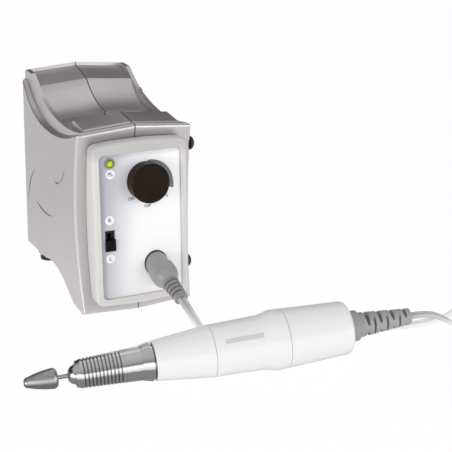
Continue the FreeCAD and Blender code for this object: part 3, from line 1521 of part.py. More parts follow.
def bit():
    zero = 0 * bit_radius
    turned("bit_shank", [(shank_front, zero), (shank_front, shank_radius),
                         (shank_rear, shank_radius), (shank_rear, zero)], hand_frame)
    bore = shank_radius + running_gap / 4
    heel = bit_heel * (root(Size(0.5, "0.5")) - 1)
    turned("bit_head", [
        (bit_front, zero), (bit_front, bit_tip_flat, -bit_tip_flat / 3),
        (bit_front + bit_tip_length, bit_tip_radius, -0.4), (bit_rear - bit_heel, bit_radius, heel),
        (bit_rear, bit_radius - bit_heel), (bit_rear, bore), (shank_front - running_gap, bore),
        (shank_front - running_gap, zero)], hand_frame)


def motor():
    zero = 0 * can_radius
    shaft = motor_shaft_radius + running_gap
    inner = can_radius - can_wall
    turned("motor_can", [
        (can_front, shaft), (can_front, can_radius), (can_rear, can_radius), (can_rear, inner),
        (can_front + can_wall, inner), (can_front + can_wall, shaft)], hand_frame)
    turned("motor_magnets", [
        (armature_front - 1, inner - running_gap - magnet_thickness),
        (armature_front - 1, inner - running_gap), (armature_rear + 1, inner - running_gap),
        (armature_rear + 1, inner - running_gap - magnet_thickness)], hand_frame)
    shaft_front = spindle_rear + running_gap * 4
    shaft_rear = can_rear + end_bell_thickness - 0.5
    turned("armature", [
        (shaft_front, zero), (shaft_front, motor_shaft_radius),
        (armature_front, motor_shaft_radius), (armature_front, armature_radius),
        (armature_rear, armature_radius), (armature_rear, motor_shaft_radius),
        (shaft_rear, motor_shaft_radius), (shaft_rear, zero)], hand_frame)
    close = motor_shaft_radius + running_gap / 5
    turned("commutator", [
        (commutator_front, close), (commutator_front, commutator_radius),
        (commutator_rear, commutator_radius), (commutator_rear, close)], hand_frame)
    bell_front = can_rear + running_gap
    turned("motor_end_bell", [
        (bell_front, shaft), (bell_front, can_radius), (bell_front + end_bell_thickness, can_radius),
        (bell_front + end_bell_thickness, shaft)], hand_frame)
    middle = (commutator_front + commutator_rear) / 2
    brushes = []
    for side in (1, -1):
        near = commutator_radius + seat_gap
        front = near if side > 0 else -(near + brush_length)
        brushes.append(block_at("brush_%d" % side, middle - brush_width / 2, front,
                                -brush_width / 2, brush_width, brush_length, brush_width))
    in_frame(group("carbon_brushes", brushes), hand_frame)
    meet = spindle_rear + running_gap * 2
    turned("motor_coupling", [
        (coupling_front, spindle_radius + running_gap / 5), (coupling_front, coupling_radius),
        (coupling_rear, coupling_radius), (coupling_rear, close), (meet, close),
        (meet, spindle_radius + running_gap / 5)], hand_frame)


# Twin flex from the plug to the handpiece, in the part's own frame
flex_start = [
    (-1.7, -35.2, 22.3), (-1.3, -40.9, 20.3), (0.4, -48.8, 16.8), (4.5, -55.1, 12.1),
    (10.7, -59.2, 7.3), (18.2, -61.6, 3.9), (26.8, -63.0, 2.8), (42.0, -65.2, 2.8),
    (59.0, -68.5, 2.8), (78.0, -72.7, 2.8), (98.0, -76.7, 2.8), (118.0, -81.8, 2.8),
    (138.0, -85.6, 2.8), (157.5, -84.6, 3.1), (173.7, -79.0, 3.7),
]
flex_end = [
    (175.9, -127.3, 9.8), (163.0, -121.7, 5.2), (150.8, -118.6, 7.0), (140.6, -116.4, 13.4),
    (131.0, -114.4, 20.0), (120.9, -112.4, 24.0), (109.4, -110.3, 23.1),
]
coil_start_angle = size("coil_start_angle", 120.0)
coil_end_angle = size("coil_end_angle", 240.0)
coil_turns = 6 + (plain(coil_start_angle) - plain(coil_end_angle)) / 360
coil_low = tie_thickness + flex_width / 2 + 0.1
coil_layer = flex_width + coil_layer_gap
coil_pitch = flex_width + coil_turn_gap
coil_steps = 12


def vector(point):
    return FreeCAD.Vector(*point)


def straight(start, end):
    return Part.LineSegment(start, end).toShape()


def unit(direction):
    return direction / direction.Length


def tangent_arc(start, direction, end):
    """The arc that leaves start along direction and arrives at end, or a line if it lies ahead."""
    chord = end - start
    across = chord - direction * chord.dot(direction)
    if across.Length < 1e-6 * chord.Length:
        return straight(start, end)
    inward = unit(across)
    radius = chord.Length ** 2 / (2 * chord.dot(inward))
    centre = start + inward * radius
    middle = centre + unit((start - centre) + (end - centre)) * radius
    return Part.Arc(start, middle, end).toShape()


def biarc(start, start_direction, end, end_direction):
    chord = end - start
    both = start_direction + end_direction
    spread = 2 * (1 - start_direction.dot(end_direction))
    lean = chord.dot(both)
    reach = (math.sqrt(lean * lean + spread * chord.dot(chord)) - lean) / spread
    meet = (start + start_direction * reach + end - end_direction * reach) / 2
    first = tangent_arc(start, start_direction, meet)
    second = tangent_arc(end, end_direction * -1, meet)
    return [first, second]


def route_edges(name, points):
    corners = [vector(point) for point in points]
    edges = []
    radii = []
    start = corners[0]
    for before, corner, after in zip(corners, corners[1:], corners[2:]):
        arriving = corner - before
        leaving = after - corner
        half_turn = arriving.getAngle(leaving) / 2
        reach = 0.45 * min(arriving.Length, leaving.Length)
        radii.append(reach / math.tan(half_turn))
        arc_start = corner - unit(arriving) * reach
        arc_end = corner + unit(leaving) * reach
        inward = unit(unit(leaving) - unit(arriving))
        middle = corner + inward * (radii[-1] / math.cos(half_turn) - radii[-1])
        edges.append(straight(start, arc_start))
        edges.append(Part.Arc(arc_start, middle, arc_end).toShape())
        start = arc_end
    edges.append(straight(start, corners[-1]))
    print("%s radii: %s" % (name, ", ".join("%.0f" % radius for radius in radii)))
    return edges


def tube(name, edges, radius):
    wire = Part.Wire(edges)
    start = edges[0].Vertexes[0].Point
    along_start = edges[0].tangentAt(edges[0].FirstParameter)
    ring = Part.Wire(Part.Circle(start, along_start, radius).toShape())
    shape = wire.makePipeShell([ring], True, False)
    if shape.Volume < 0:
        shape.reverse()
    expected = math.pi * radius ** 2 * wire.Length
    print("%s: length %.0f mm, volume %.3f of section times length"
          % (name, wire.Length, shape.Volume / expected))
    piece = doc.addObject("Part::Feature", name)
    piece.Label = name
    piece.Shape = shape
    return piece


def coil_spot(done, half, low, rise, inner, pitch):
    """Centre and direction after so many turns: inwards on the low layer, outwards on the high."""
    angle = math.radians(plain(coil_start_angle)) - 2 * math.pi * done
    radius = inner + pitch * abs(done - half)
    climb = min(max((done - half) / 0.5 + 0.5, 0.0), 1.0)
    height = low + rise * climb * climb * (3 - 2 * climb)
    steepness = rise * 6 * climb * (1 - climb) / 0.5
    drift = 0.0
    if abs(done - half) > 1e-6:
        drift = pitch if done > half else -pitch
    outward = FreeCAD.Vector(math.cos(angle), math.sin(angle), 0)
    onward = FreeCAD.Vector(math.sin(angle), -math.cos(angle), 0)
    centre = FreeCAD.Vector(plain(coil_side), plain(coil_back), height)
    heading = onward * (2 * math.pi * radius) + outward * drift + FreeCAD.Vector(0, 0, steepness)
    return centre + outward * radius, unit(heading)


def coil():
    half = coil_turns / 2
    pitch = plain(coil_pitch)
    inner = plain(coil_turn_radius) - pitch * half / 2
    spots = []
    for i in range(2 * coil_steps + 1):
        spots.append(coil_spot(coil_turns * i / (2 * coil_steps), half, plain(coil_low),
                               plain(coil_layer), inner, pitch))
    edges = [straight(spots[0][0] - spots[0][1] * plain(flex_width), spots[0][0])]
    for start, end in zip(spots, spots[1:]):
        edges += biarc(start[0], start[1], end[0], end[1])
    edges.append(straight(spots[-1][0], spots[-1][0] + spots[-1][1] * plain(flex_width)))
    tube("cord_coil", edges, plain(flex_width) / 2)
    points = Part.Wire(edges).discretize(Distance=3.0)
    apart = int(plain(coil_turn_radius) * 2 / 3)
    least = min(points[i].distanceToPoint(points[j]) for i in range(len(points))
                for j in range(i + apart, len(points)))
    print("cord_coil: least gap to itself %.2f mm" % (least - plain(flex_width)))
    return edges


def cord():
    edges = coil()
    start = edges[0].Vertexes[0].Point
    end = edges[-1].Vertexes[-1].Point
    radius = plain(flex_width) / 2
    tube("cord_front", route_edges("cord_front", flex_start + [tuple(start)]), radius)
    tube("cord_back", route_edges("cord_back", [tuple(end)] + flex_end), radius)
    wide = coil_pitch * 2 + flex_width + tie_slack * 2
    tall = coil_layer + flex_width + tie_thickness * 2 + 0.2
    outer = block_at("tie_block", -wide / 2 - tie_thickness, -tie_width / 2, 0 * tall,
                     wide + tie_thickness * 2, tie_width, tall)
    window = block_at("tie_window", -wide / 2, -tie_width, tie_thickness, wide, tie_width * 2,
                      tall - tie_thickness * 2)
    band = less("cord_tie", outer, [window])
    put_local(band, coil_side + coil_turn_radius + coil_pitch * (1.5 - coil_turns / 4),
              coil_back, 0)


shell_half("right_shell", 1)
shell_half("left_shell", -1)
bezel()
front_panel()
knob()
potentiometer()
direction_switch()
power_lamp()
handpiece_socket()
plug()
circuit_board()
transformer()
rear_plate()
fuse_set()
feet()
shell_screws()
handpiece_housings()
handpiece_boot()
chuck()
bit()
motor()
cord()
doc.recompute()

nodes = [
    "left_shell", "right_shell", "bezel", "front_panel", "rear_plate", "mains_inlet",
    "inlet_pins", "fuse_holder", "fuse_cap", "fuse", "power_lamp", "lamp_ring",
    "direction_switch", "direction_slider", "potentiometer", "pot_nut", "pot_shaft",
    "speed_knob", "handpiece_socket", "socket_contacts", "circuit_board", "board_screws",
    "heat_sink", "power_transistor", "capacitor", "rectifier", "relay", "transformer_core",
    "transformer_frame", "transformer_coil", "transformer_screws", "shell_screws", "base_feet",
    "side_feet", "plug_body", "plug_pins", "plug_boot", "cord_front", "cord_coil", "cord_tie",
    "cord_back", "handpiece_boot", "rear_cap", "middle_housing", "front_housing",
    "nose_housing", "nose_cap", "twist_sleeve", "collet", "spindle", "spindle_bearings",
    "motor_coupling", "motor_can", "motor_magnets", "armature", "commutator",
    "carbon_brushes", "motor_end_bell", "bit_shank", "bit_head",
]

for item in doc.Objects:
    if "Invalid" in item.State or "Error" in item.State:
        raise ValueError("%s is in state %s" % (item.Name, item.State))

os.makedirs("parts", exist_ok=True)
for label in nodes:
    shape = doc.getObjectsByLabel(label)[0].Shape
    if shape.isNull() or not shape.isValid() or shape.Volume <= 0:
        raise ValueError("%s has no sound solid" % label)
    shape.exportStep("parts/%s.step" % label)
print("%d sub-parts written" % len(nodes))
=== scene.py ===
import json
import math

import bpy
from mathutils import Matrix, Vector

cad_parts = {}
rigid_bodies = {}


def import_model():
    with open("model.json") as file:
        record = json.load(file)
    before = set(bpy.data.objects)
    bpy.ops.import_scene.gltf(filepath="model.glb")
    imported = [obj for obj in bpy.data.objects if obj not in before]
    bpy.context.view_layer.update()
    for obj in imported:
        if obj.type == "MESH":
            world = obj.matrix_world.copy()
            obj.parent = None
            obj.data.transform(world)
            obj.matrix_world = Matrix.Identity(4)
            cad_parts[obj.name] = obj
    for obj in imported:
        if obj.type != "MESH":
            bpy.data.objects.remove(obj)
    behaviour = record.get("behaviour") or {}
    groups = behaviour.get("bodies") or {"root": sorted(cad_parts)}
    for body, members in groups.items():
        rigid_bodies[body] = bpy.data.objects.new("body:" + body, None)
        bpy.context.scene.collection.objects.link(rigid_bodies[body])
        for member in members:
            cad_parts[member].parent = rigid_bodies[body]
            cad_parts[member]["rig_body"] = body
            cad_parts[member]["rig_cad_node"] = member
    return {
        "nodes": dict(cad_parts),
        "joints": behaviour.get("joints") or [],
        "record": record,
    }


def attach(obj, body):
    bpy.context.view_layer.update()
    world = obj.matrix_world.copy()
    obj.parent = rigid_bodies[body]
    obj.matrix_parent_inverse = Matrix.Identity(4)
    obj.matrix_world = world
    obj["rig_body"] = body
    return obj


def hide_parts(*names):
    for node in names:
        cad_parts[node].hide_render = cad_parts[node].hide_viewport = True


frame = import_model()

bl_info = {
    "name": "Nail drill machine",
    "version": (1, 0, 0),
    "blender": (4, 5, 0),
    "location": "3D View > Sidebar > Nail Drill",
    "description": "Dresses the packed control box, its handpiece and its twin flex",
    "category": "Object",
}

NODES = frame["nodes"]
RECORD = frame["record"]
JOINTS = {joint["name"]: joint for joint in frame["joints"]}
NODE_SLOTS = {part["node"]: part["material_slot"] for part in RECORD["subparts"]}
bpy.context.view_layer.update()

# The knob's hinge and the slider's rail give the panel's lean, and the spindle's hinge gives the
# handpiece's line
PANEL_OUT = -Vector(JOINTS["speed_turn"]["axis"])
PANEL_UP = Vector(JOINTS["direction_slide"]["axis"])
KNOB_SPOT = Vector(JOINTS["speed_turn"]["pos_m"])
HAND_LINE = Vector(JOINTS["spindle_spin"]["axis"])
HAND_SPOT = Vector(JOINTS["spindle_spin"]["pos_m"])

# Where the plug leaves its socket, and which way
PLUG_SPOT = Vector((-0.0042, -0.0023, 0.0333))
PLUG_LINE = Vector((0.0723, -0.9455, -0.3175))

# The slots of the plug's end, along the plug from its socket
SLOT_START, SLOT_PITCH = 0.02134, 0.00306

# The sleeve's grooves and the printed bar, along the handpiece, and the bar's edges round it
GROOVE_START, GROOVE_PITCH = -0.0719, 0.002
BAR_ENDS = (0.0058, 0.0276)
BAR_EDGES = (math.radians(42), math.radians(53))

# Where the shell halves meet, and where the steel nose starts to darken before the white housing
SEAM_X = -0.0132
NOSE_END = -0.0338

# Places on the panel, to the right and up from its middle at knob height. The bezel's top band and
# the sill under it are heights between which their painted shade sets in
KNOB_RIGHT = 0.0032
LAMP_RIGHT, LAMP_UP = -0.0188, 0.0123
WINDOW_LEFT, WINDOW_TOP = -0.0243, 0.0169
BEZEL_TOP = (0.0125, 0.0195)
SILL = (-0.0835, -0.0745)
DISC_MARKS = (
    ("lamp_mark", "PL", -0.0189, 0.0061),
    ("right_mark", "R", -0.0203, -0.0220),
    ("left_mark", "L", -0.0205, -0.0462),
)
WORD_MARKS = (
    ("on_mark", "ON", -0.0062, -0.0104, 0.0),
    ("off_mark", "OFF", 0.0044, -0.0161, 0.0),
    ("fast_mark", "0", 0.0171, -0.0111, math.radians(40)),
)

# Where the wedge starts under the knob, how far the first ink stands off the panel, and how far
# the letters stand off their discs
WEDGE_INNER = 0.0119
INK_LIFT = 0.00001
LETTER_LIFT = 0.00002


# Settings
class NailDrillColours(bpy.types.PropertyGroup):
    shell: bpy.props.FloatVectorProperty(
        name="Shell paint", description="Silver paint of the box halves",
        subtype="COLOR", min=0, max=1, default=(0.6, 0.563, 0.585))
    bezel: bpy.props.FloatVectorProperty(
        name="Bezel", description="Gloss frame round the front panel",
        subtype="COLOR", min=0, max=1, default=(0.69, 0.67, 0.65))
    # The two panel colours are the dark and light ends of a painted reflection that pales across
    # the foil
    panel_left: bpy.props.FloatVectorProperty(
        name="Panel, left", description="Printed foil at the left edge of the panel",
        subtype="COLOR", min=0, max=1, default=(0.44, 0.44, 0.51))
    panel_right: bpy.props.FloatVectorProperty(
        name="Panel, right", description="Printed foil at the middle and right of the panel",
        subtype="COLOR", min=0, max=1, default=(0.96, 0.96, 0.97))
    mark: bpy.props.FloatVectorProperty(
        name="Panel print", description="Grey print on the panel",
        subtype="COLOR", min=0, max=1, default=(0.16, 0.17, 0.18))
    knob: bpy.props.FloatVectorProperty(
        name="Speed knob", description="Black brown gloss of the speed knob",
        subtype="COLOR", min=0, max=1, default=(0.021, 0.0135, 0.01))
    lamp: bpy.props.FloatVectorProperty(
        name="Power lamp", description="Lit lens of the power lamp",
        subtype="COLOR", min=0, max=1, default=(0.4, 0.52, 0.01))
    plug: bpy.props.FloatVectorProperty(
        name="Plug", description="Moulded rubber of the plug",
        subtype="COLOR", min=0, max=1, default=(0.33, 0.317, 0.33))
    flex: bpy.props.FloatVectorProperty(
        name="Flex", description="Sheath of the twin flex",
        subtype="COLOR", min=0, max=1, default=(0.94, 0.94, 0.95))
    housing: bpy.props.FloatVectorProperty(
        name="Handpiece housing", description="White gloss of the handpiece",
        subtype="COLOR", min=0, max=1, default=(0.82, 0.82, 0.82))
    band: bpy.props.FloatVectorProperty(
        name="Handpiece band", description="Pale bar printed on the middle housing",
        subtype="COLOR", min=0, max=1, default=(0.62, 0.62, 0.62))
    boot: bpy.props.FloatVectorProperty(
        name="Strain relief", description="Rubber behind the handpiece",
        subtype="COLOR", min=0, max=1, default=(0.36, 0.36, 0.365))
    steel: bpy.props.FloatVectorProperty(
        name="Bright steel", description="Turned steel of the nose and the sleeve",
        subtype="COLOR", min=0, max=1, default=(0.8, 0.8, 0.8))


class NailDrillFlex(bpy.types.PropertyGroup):
    width: bpy.props.FloatProperty(
        name="Width", description="Width across both cores", default=0.0056, unit="LENGTH")
    thickness: bpy.props.FloatProperty(
        name="Thickness", description="Thickness of one core", default=0.0028, unit="LENGTH")
    length: bpy.props.FloatProperty(
        name="Length", description="Length from the plug to the handpiece",
        default=1.42, unit="LENGTH")
    coil_side: bpy.props.FloatProperty(
        name="Coil centre, X", description="Middle of the coil", default=0.2128, unit="LENGTH")
    coil_back: bpy.props.FloatProperty(
        name="Coil centre, Y", description="Middle of the coil", default=-0.1025, unit="LENGTH")
    coil_radius: bpy.props.FloatProperty(
        name="Coil radius", description="Radius to the middle turn of the coil",
        default=0.031, unit="LENGTH")
    coil_pitch: bpy.props.FloatProperty(
        name="Turn pitch", description="Distance from one turn to the next",
        default=0.0063, unit="LENGTH")
    coil_low: bpy.props.FloatProperty(
        name="Low layer", description="Height of the flex's middle in the low layer",
        default=0.0037, unit="LENGTH")
    coil_rise: bpy.props.FloatProperty(
        name="Layer rise", description="Height from the low layer to the high one",
        default=0.0061, unit="LENGTH")


class NailDrillMarks(bpy.types.PropertyGroup):
    disc_radius: bpy.props.FloatProperty(
        name="Disc radius", description="White discs behind the letters",
        default=0.00285, unit="LENGTH")
    disc_letter: bpy.props.FloatProperty(
        name="Disc letter", description="Letter size on the discs", default=0.0034, unit="LENGTH")
    weight: bpy.props.FloatProperty(
        name="Letter weight", description="How far each letter's outline is thickened",
        default=0.00007, unit="LENGTH")
    word_height: bpy.props.FloatProperty(
        name="Word size", description="Letter size of ON and OFF", default=0.0026, unit="LENGTH")
    thickness: bpy.props.FloatProperty(
        name="Print thickness", description="Thickness of the printed ink",
        default=0.00004, unit="LENGTH")
    wedge_radius: bpy.props.FloatProperty(
        name="Speed wedge radius", description="Radius at the thin end of the speed wedge",
        default=0.0125, unit="LENGTH")
    wedge_growth: bpy.props.FloatProperty(
        name="Speed wedge growth", description="How far the wedge's rim moves out over its arc",
        default=0.0070, unit="LENGTH")
    wedge_start: bpy.props.FloatProperty(
        name="Speed wedge start", description="Angle of the thin end from three o'clock",
        default=math.radians(80), unit="ROTATION")
    wedge_end: bpy.props.FloatProperty(
        name="Speed wedge end", description="Angle of the wide end from three o'clock",
        default=math.radians(-20), unit="ROTATION")


class NailDrillStudio(bpy.types.PropertyGroup):
    target: bpy.props.FloatVectorProperty(
        name="Target", description="Point at the middle of the picture",
        subtype="XYZ", default=(0.04641, 0.0035, 0.04812))
    distance: bpy.props.FloatProperty(
        name="Distance", description="Camera distance", default=0.7, unit="LENGTH")
    azimuth: bpy.props.FloatProperty(
        name="Azimuth", description="Camera's turn to the left of the front",
        default=math.radians(27.24), unit="ROTATION")
    elevation: bpy.props.FloatProperty(
        name="Elevation", description="Camera's height above the horizon",
        default=math.radians(20.88), unit="ROTATION")
    roll: bpy.props.FloatProperty(
        name="Roll", description="Camera's roll", default=math.radians(1.815), unit="ROTATION")
    lens: bpy.props.FloatProperty(
        name="Lens", description="Focal length on a 36 mm sensor", default=87.69, unit="CAMERA")
    key_power: bpy.props.FloatProperty(
        name="Key lamp", description="Soft box at the left of the camera",
        default=2.5, unit="POWER")
    cradle_power: bpy.props.FloatProperty(
        name="Cradle box power", description="Soft box that only gloss sees, over the cradle",
        default=0.14, unit="POWER")
    fill_power: bpy.props.FloatProperty(
        name="Fill lamp", description="Soft box at the right of the camera",
        default=2.0, unit="POWER")


SETTING_GROUPS = {
    "nail_drill_colours": NailDrillColours,
    "nail_drill_flex": NailDrillFlex,
    "nail_drill_marks": NailDrillMarks,
    "nail_drill_studio": NailDrillStudio,
}


# Bench tools
def clear_selection():
    if bpy.context.object is not None and bpy.context.object.mode != "OBJECT":
        bpy.ops.object.mode_set(mode="OBJECT")
    bpy.ops.object.select_all(action="DESELECT")


def pick(piece):
    clear_selection()
    piece.select_set(True)
    bpy.context.view_layer.objects.active = piece


def edit_all(piece):
    pick(piece)
    bpy.ops.object.mode_set(mode="EDIT")
    bpy.ops.mesh.select_all(action="SELECT")


def done_editing():
    bpy.ops.object.mode_set(mode="OBJECT")


def smoothed(piece, degrees=30):
    pick(piece)
    bpy.ops.object.shade_smooth_by_angle(angle=math.radians(degrees))
    return piece


def give(piece, material):
    piece.data.materials.clear()
    piece.data.materials.append(material)


def place(piece, matrix):
    piece.data.transform(matrix)
    piece.data.update()


def mount(piece, body, slot, *nodes):
    if nodes:
        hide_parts(*nodes)
    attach(piece, body)
    return piece


def dressed(node, material, degrees=30):
    """A merged and smoothed copy of a CAD node that stands for it."""
    pick(NODES[node])
    bpy.ops.object.duplicate(linked=False)
    piece = bpy.context.object
    piece.name = node + "_finished"
    piece.data.name = piece.name
    body = piece["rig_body"]
    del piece["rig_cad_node"]
    edit_all(piece)
    bpy.ops.mesh.remove_doubles(threshold=2e-6)
    done_editing()
    bpy.ops.mesh.customdata_custom_splitnormals_clear()
    smoothed(piece, degrees)
    modifier = piece.modifiers.new("weighted_normal", "WEIGHTED_NORMAL")
    modifier.keep_sharp = True
    modifier.weight = 60
    bpy.ops.object.modifier_apply(modifier=modifier.name)
    give(piece, material)
    return mount(piece, body, NODE_SLOTS[node], node)


def panel_place(side, up, proud=0.0):
    """X to the right, Y up the panel and Z out of it, from the panel's middle at knob height."""
    right = PANEL_UP.cross(PANEL_OUT).normalized()
    spot = KNOB_SPOT + right * (side - KNOB_RIGHT) + PANEL_UP * up + PANEL_OUT * proud
    turn = Matrix((right, PANEL_UP, PANEL_OUT)).transposed().to_4x4()
    return Matrix.Translation(spot) @ turn


def hand_turn():
    """Columns: along the handpiece to its rear, then towards the camera's side, then upwards."""
    up = (Vector((0, 0, 1)) - HAND_LINE * HAND_LINE.z).normalized()
    near = HAND_LINE.cross(up)
    return Matrix((HAND_LINE, -near, up)).transposed()


# Shader groups
def new_group(name, inputs, outputs):
    group = bpy.data.node_groups.new(name, "ShaderNodeTree")
    for label, value in inputs:
        socket = group.interface.new_socket(label, in_out="INPUT", socket_type="NodeSocketFloat")
        socket.default_value = value
    for label in outputs:
        group.interface.new_socket(label, in_out="OUTPUT", socket_type="NodeSocketFloat")
    return group, group.nodes.new("NodeGroupInput"), group.nodes.new("NodeGroupOutput")


def wire(tree, source, socket):
    """Joins an output to a socket, or gives the socket a plain value."""
    if isinstance(source, bpy.types.NodeSocket):
        tree.links.new(source, socket)
    else:
        socket.default_value = source


def wire_colour(tree, source, socket):
    """The same for a colour, which is an output or red, green and blue."""
    wire(tree, source if isinstance(source, bpy.types.NodeSocket) else (*source, 1.0), socket)


def sum_node(tree, operation, *values, clamp=False):
    node = tree.nodes.new("ShaderNodeMath")
    node.operation = operation
    node.use_clamp = clamp
    for socket, value in zip(node.inputs, values):
        wire(tree, value, socket)
    return node.outputs[0]


def range_node(tree, value, low, high, to_low=0.0, to_high=1.0, smooth=False):
    node = tree.nodes.new("ShaderNodeMapRange")
    node.interpolation_type = "SMOOTHSTEP" if smooth else "LINEAR"
    node.clamp = True
    for label, number in (("Value", value), ("From Min", low), ("From Max", high),
                          ("To Min", to_low), ("To Max", to_high)):
        wire(tree, number, node.inputs[label])
    return node.outputs["Result"]


def noise_node(tree, vector, scale, detail=2.0, roughness=0.5):
    node = tree.nodes.new("ShaderNodeTexNoise")
    for label, value in (("Vector", vector), ("Scale", scale), ("Detail", detail),
                         ("Roughness", roughness)):
        wire(tree, value, node.inputs[label])
    return node.outputs["Fac"]


def mix_node(tree, mask, first, second, kind="MIX"):
    node = tree.nodes.new("ShaderNodeMix")
    node.data_type = "RGBA"
    node.blend_type = kind
    wire(tree, mask, node.inputs["Factor"])
    wire_colour(tree, first, node.inputs[6])
    wire_colour(tree, second, node.inputs[7])
    return node.outputs[2]


def object_place(tree):
    return tree.nodes.new("ShaderNodeTexCoord").outputs["Object"]


def grain_group():
    """Fine moulded or sprayed grain: a tone mask and a height."""
    group, entry, out = new_group("Fine grain", [("Grain Size", 0.0004)], ["Tone", "Height"])
    scale = sum_node(group, "DIVIDE", 1.0, entry.outputs["Grain Size"])
    spot = object_place(group)
    fine = noise_node(group, spot, scale, 3.0, 0.6)
    broad = noise_node(group, spot, sum_node(group, "MULTIPLY", scale, 0.23), 2.0, 0.5)
    wire(group, range_node(group, fine, 0.3, 0.7), out.inputs["Tone"])
    height = sum_node(group, "MULTIPLY_ADD", broad, 0.6, sum_node(group, "MULTIPLY", fine, 0.4))
    wire(group, height, out.inputs["Height"])
    return group


def handling_group():
    """Where hands and cloths have left the surface a little duller."""
    group, entry, out = new_group("Handling", [("Patch Size", 0.02)], ["Smudge", "Scuff"])
    scale = sum_node(group, "DIVIDE", 1.0, entry.outputs["Patch Size"])
    spot = object_place(group)
    wide = noise_node(group, spot, scale, 3.0, 0.55)
    wire(group, range_node(group, wide, 0.45, 0.7, smooth=True), out.inputs["Smudge"])
    stretch = group.nodes.new("ShaderNodeMapping")
    stretch.inputs["Scale"].default_value = (1.0, 6.0, 1.6)
    wire(group, spot, stretch.inputs["Vector"])
    lines = noise_node(group, stretch.outputs["Vector"],
                       sum_node(group, "MULTIPLY", scale, 9.0), 2.0, 0.6)
    wire(group, range_node(group, lines, 0.66, 0.74), out.inputs["Scuff"])
    return group


def lathe_group():
    """Fine rings that a lathe leaves, from the place along the axis."""
    group, entry, out = new_group("Lathe rings", [("Along", 0.0), ("Ring Width", 0.00025)],
                                  ["Tone", "Height"])
    turns = sum_node(group, "DIVIDE", entry.outputs["Along"], entry.outputs["Ring Width"])
    gather = group.nodes.new("ShaderNodeCombineXYZ")
    wire(group, turns, gather.inputs["X"])
    rings = noise_node(group, gather.outputs["Vector"], 1.0, 2.0, 0.7)
    wire(group, range_node(group, rings, 0.3, 0.7), out.inputs["Tone"])
    wire(group, rings, out.inputs["Height"])
    return group


GROUP_MAKERS = {"grain": grain_group, "handling": handling_group, "lathe": lathe_group}
SHARED_GROUPS = {}


def use_group(tree, name, **values):
    if name not in SHARED_GROUPS:
        SHARED_GROUPS[name] = GROUP_MAKERS[name]()
    node = tree.nodes.new("ShaderNodeGroup")
    node.node_tree = SHARED_GROUPS[name]
    for label, value in values.items():
        wire(tree, value, node.inputs[label.replace("_", " ")])
    return node.outputs


class Finish:
    """A material on its way: its shader, its colour so far and the heights that feed its bump."""

    def __init__(self, name, colour, metallic=0.0, roughness=0.4, coat=0.0, coat_roughness=0.08,
                 specular=0.5):
        self.material = bpy.data.materials.new(name)
        self.material.use_nodes = True
        self.tree = self.material.node_tree
        self.shader = self.tree.nodes["Principled BSDF"]
        for label, value in (("Metallic", metallic), ("Coat Weight", coat),
                             ("Coat Roughness", coat_roughness), ("Specular IOR Level", specular)):
            self.shader.inputs[label].default_value = value
        self.colour = tuple(colour)
        self.roughness = roughness
        self.heights = []

    def tint(self, mask, colour):
        self.colour = mix_node(self.tree, mask, self.colour, colour)
        return self

    def shade(self, mask, share):
        """Darkens (or lightens) the colour so far by a share where the mask is white."""
        if isinstance(self.colour, tuple):
            return self.tint(mask, tuple(min(1.0, part * share) for part in self.colour))
        self.colour = mix_node(self.tree, mask, self.colour, (share,) * 3, "MULTIPLY")
        return self

    def grain(self, size, tone=0.94, height=1e-5):
        outputs = use_group(self.tree, "grain", Grain_Size=size)
        self.shade(outputs["Tone"], tone)
        self.heights.append((outputs["Height"], height))
        return self

    def handled(self, size=0.02, duller=0.08, scuff=1.0):
        outputs = use_group(self.tree, "handling", Patch_Size=size)
        rough = range_node(self.tree, outputs["Smudge"], 0.0, 1.0, self.roughness,
                           self.roughness + duller)
        self.roughness = sum_node(self.tree, "MULTIPLY_ADD", outputs["Scuff"], duller * 1.2, rough,
                                  clamp=True)
        if scuff != 1.0:
            self.shade(outputs["Scuff"], scuff)
        return self

    def lathe(self, along, width=0.00025, tone=0.9, height=4e-6):
        outputs = use_group(self.tree, "lathe", Along=along, Ring_Width=width)
        self.shade(outputs["Tone"], tone)
        self.heights.append((outputs["Height"], height))
        return self

    def done(self):
        wire_colour(self.tree, self.colour, self.shader.inputs["Base Color"])
        wire(self.tree, self.roughness, self.shader.inputs["Roughness"])
        normal = self.shader.inputs["Normal"]
        for height, depth in reversed(self.heights):
            bump = self.tree.nodes.new("ShaderNodeBump")
            wire(self.tree, 1.0, bump.inputs["Strength"])
            wire(self.tree, depth, bump.inputs["Distance"])
            wire(self.tree, height, bump.inputs["Height"])
            wire(self.tree, bump.outputs["Normal"], normal)
            normal = bump.inputs["Normal"]
        return self.material


def split(tree, vector):
    node = tree.nodes.new("ShaderNodeSeparateXYZ")
    wire(tree, vector, node.inputs["Vector"])
    return node.outputs


def place_in(tree, spot, turn):
    """Place along the three axes of a turned frame that starts at the spot."""
    node = tree.nodes.new("ShaderNodeMapping")
    node.vector_type = "TEXTURE"
    node.inputs["Location"].default_value = spot
    node.inputs["Rotation"].default_value = turn.to_euler()
    wire(tree, object_place(tree), node.inputs["Vector"])
    return split(tree, node.outputs["Vector"])


def in_hand(tree):
    """Place along, across and up from the handpiece's first seam."""
    return place_in(tree, HAND_SPOT, hand_turn())


def on_panel(tree):
    """Place to the right, up and out from the panel's middle at knob height."""
    matrix = panel_place(0, 0)
    return place_in(tree, matrix.to_translation(), matrix)


def along_plug(tree):
    """Place along the plug, out of its socket."""
    node = tree.nodes.new("ShaderNodeVectorMath")
    node.operation = "DOT_PRODUCT"
    wire(tree, object_place(tree), node.inputs[0])
    node.inputs[1].default_value = PLUG_LINE
    return sum_node(tree, "SUBTRACT", node.outputs["Value"], PLUG_SPOT.dot(PLUG_LINE))


def within(tree, value, low, high, soft):
    rise = range_node(tree, value, low - soft, low + soft)
    fall = range_node(tree, value, high - soft, high + soft, 1.0, 0.0)
    return sum_node(tree, "MULTIPLY", rise, fall)


# Finishes
def paints():
    return bpy.context.scene.nail_drill_colours


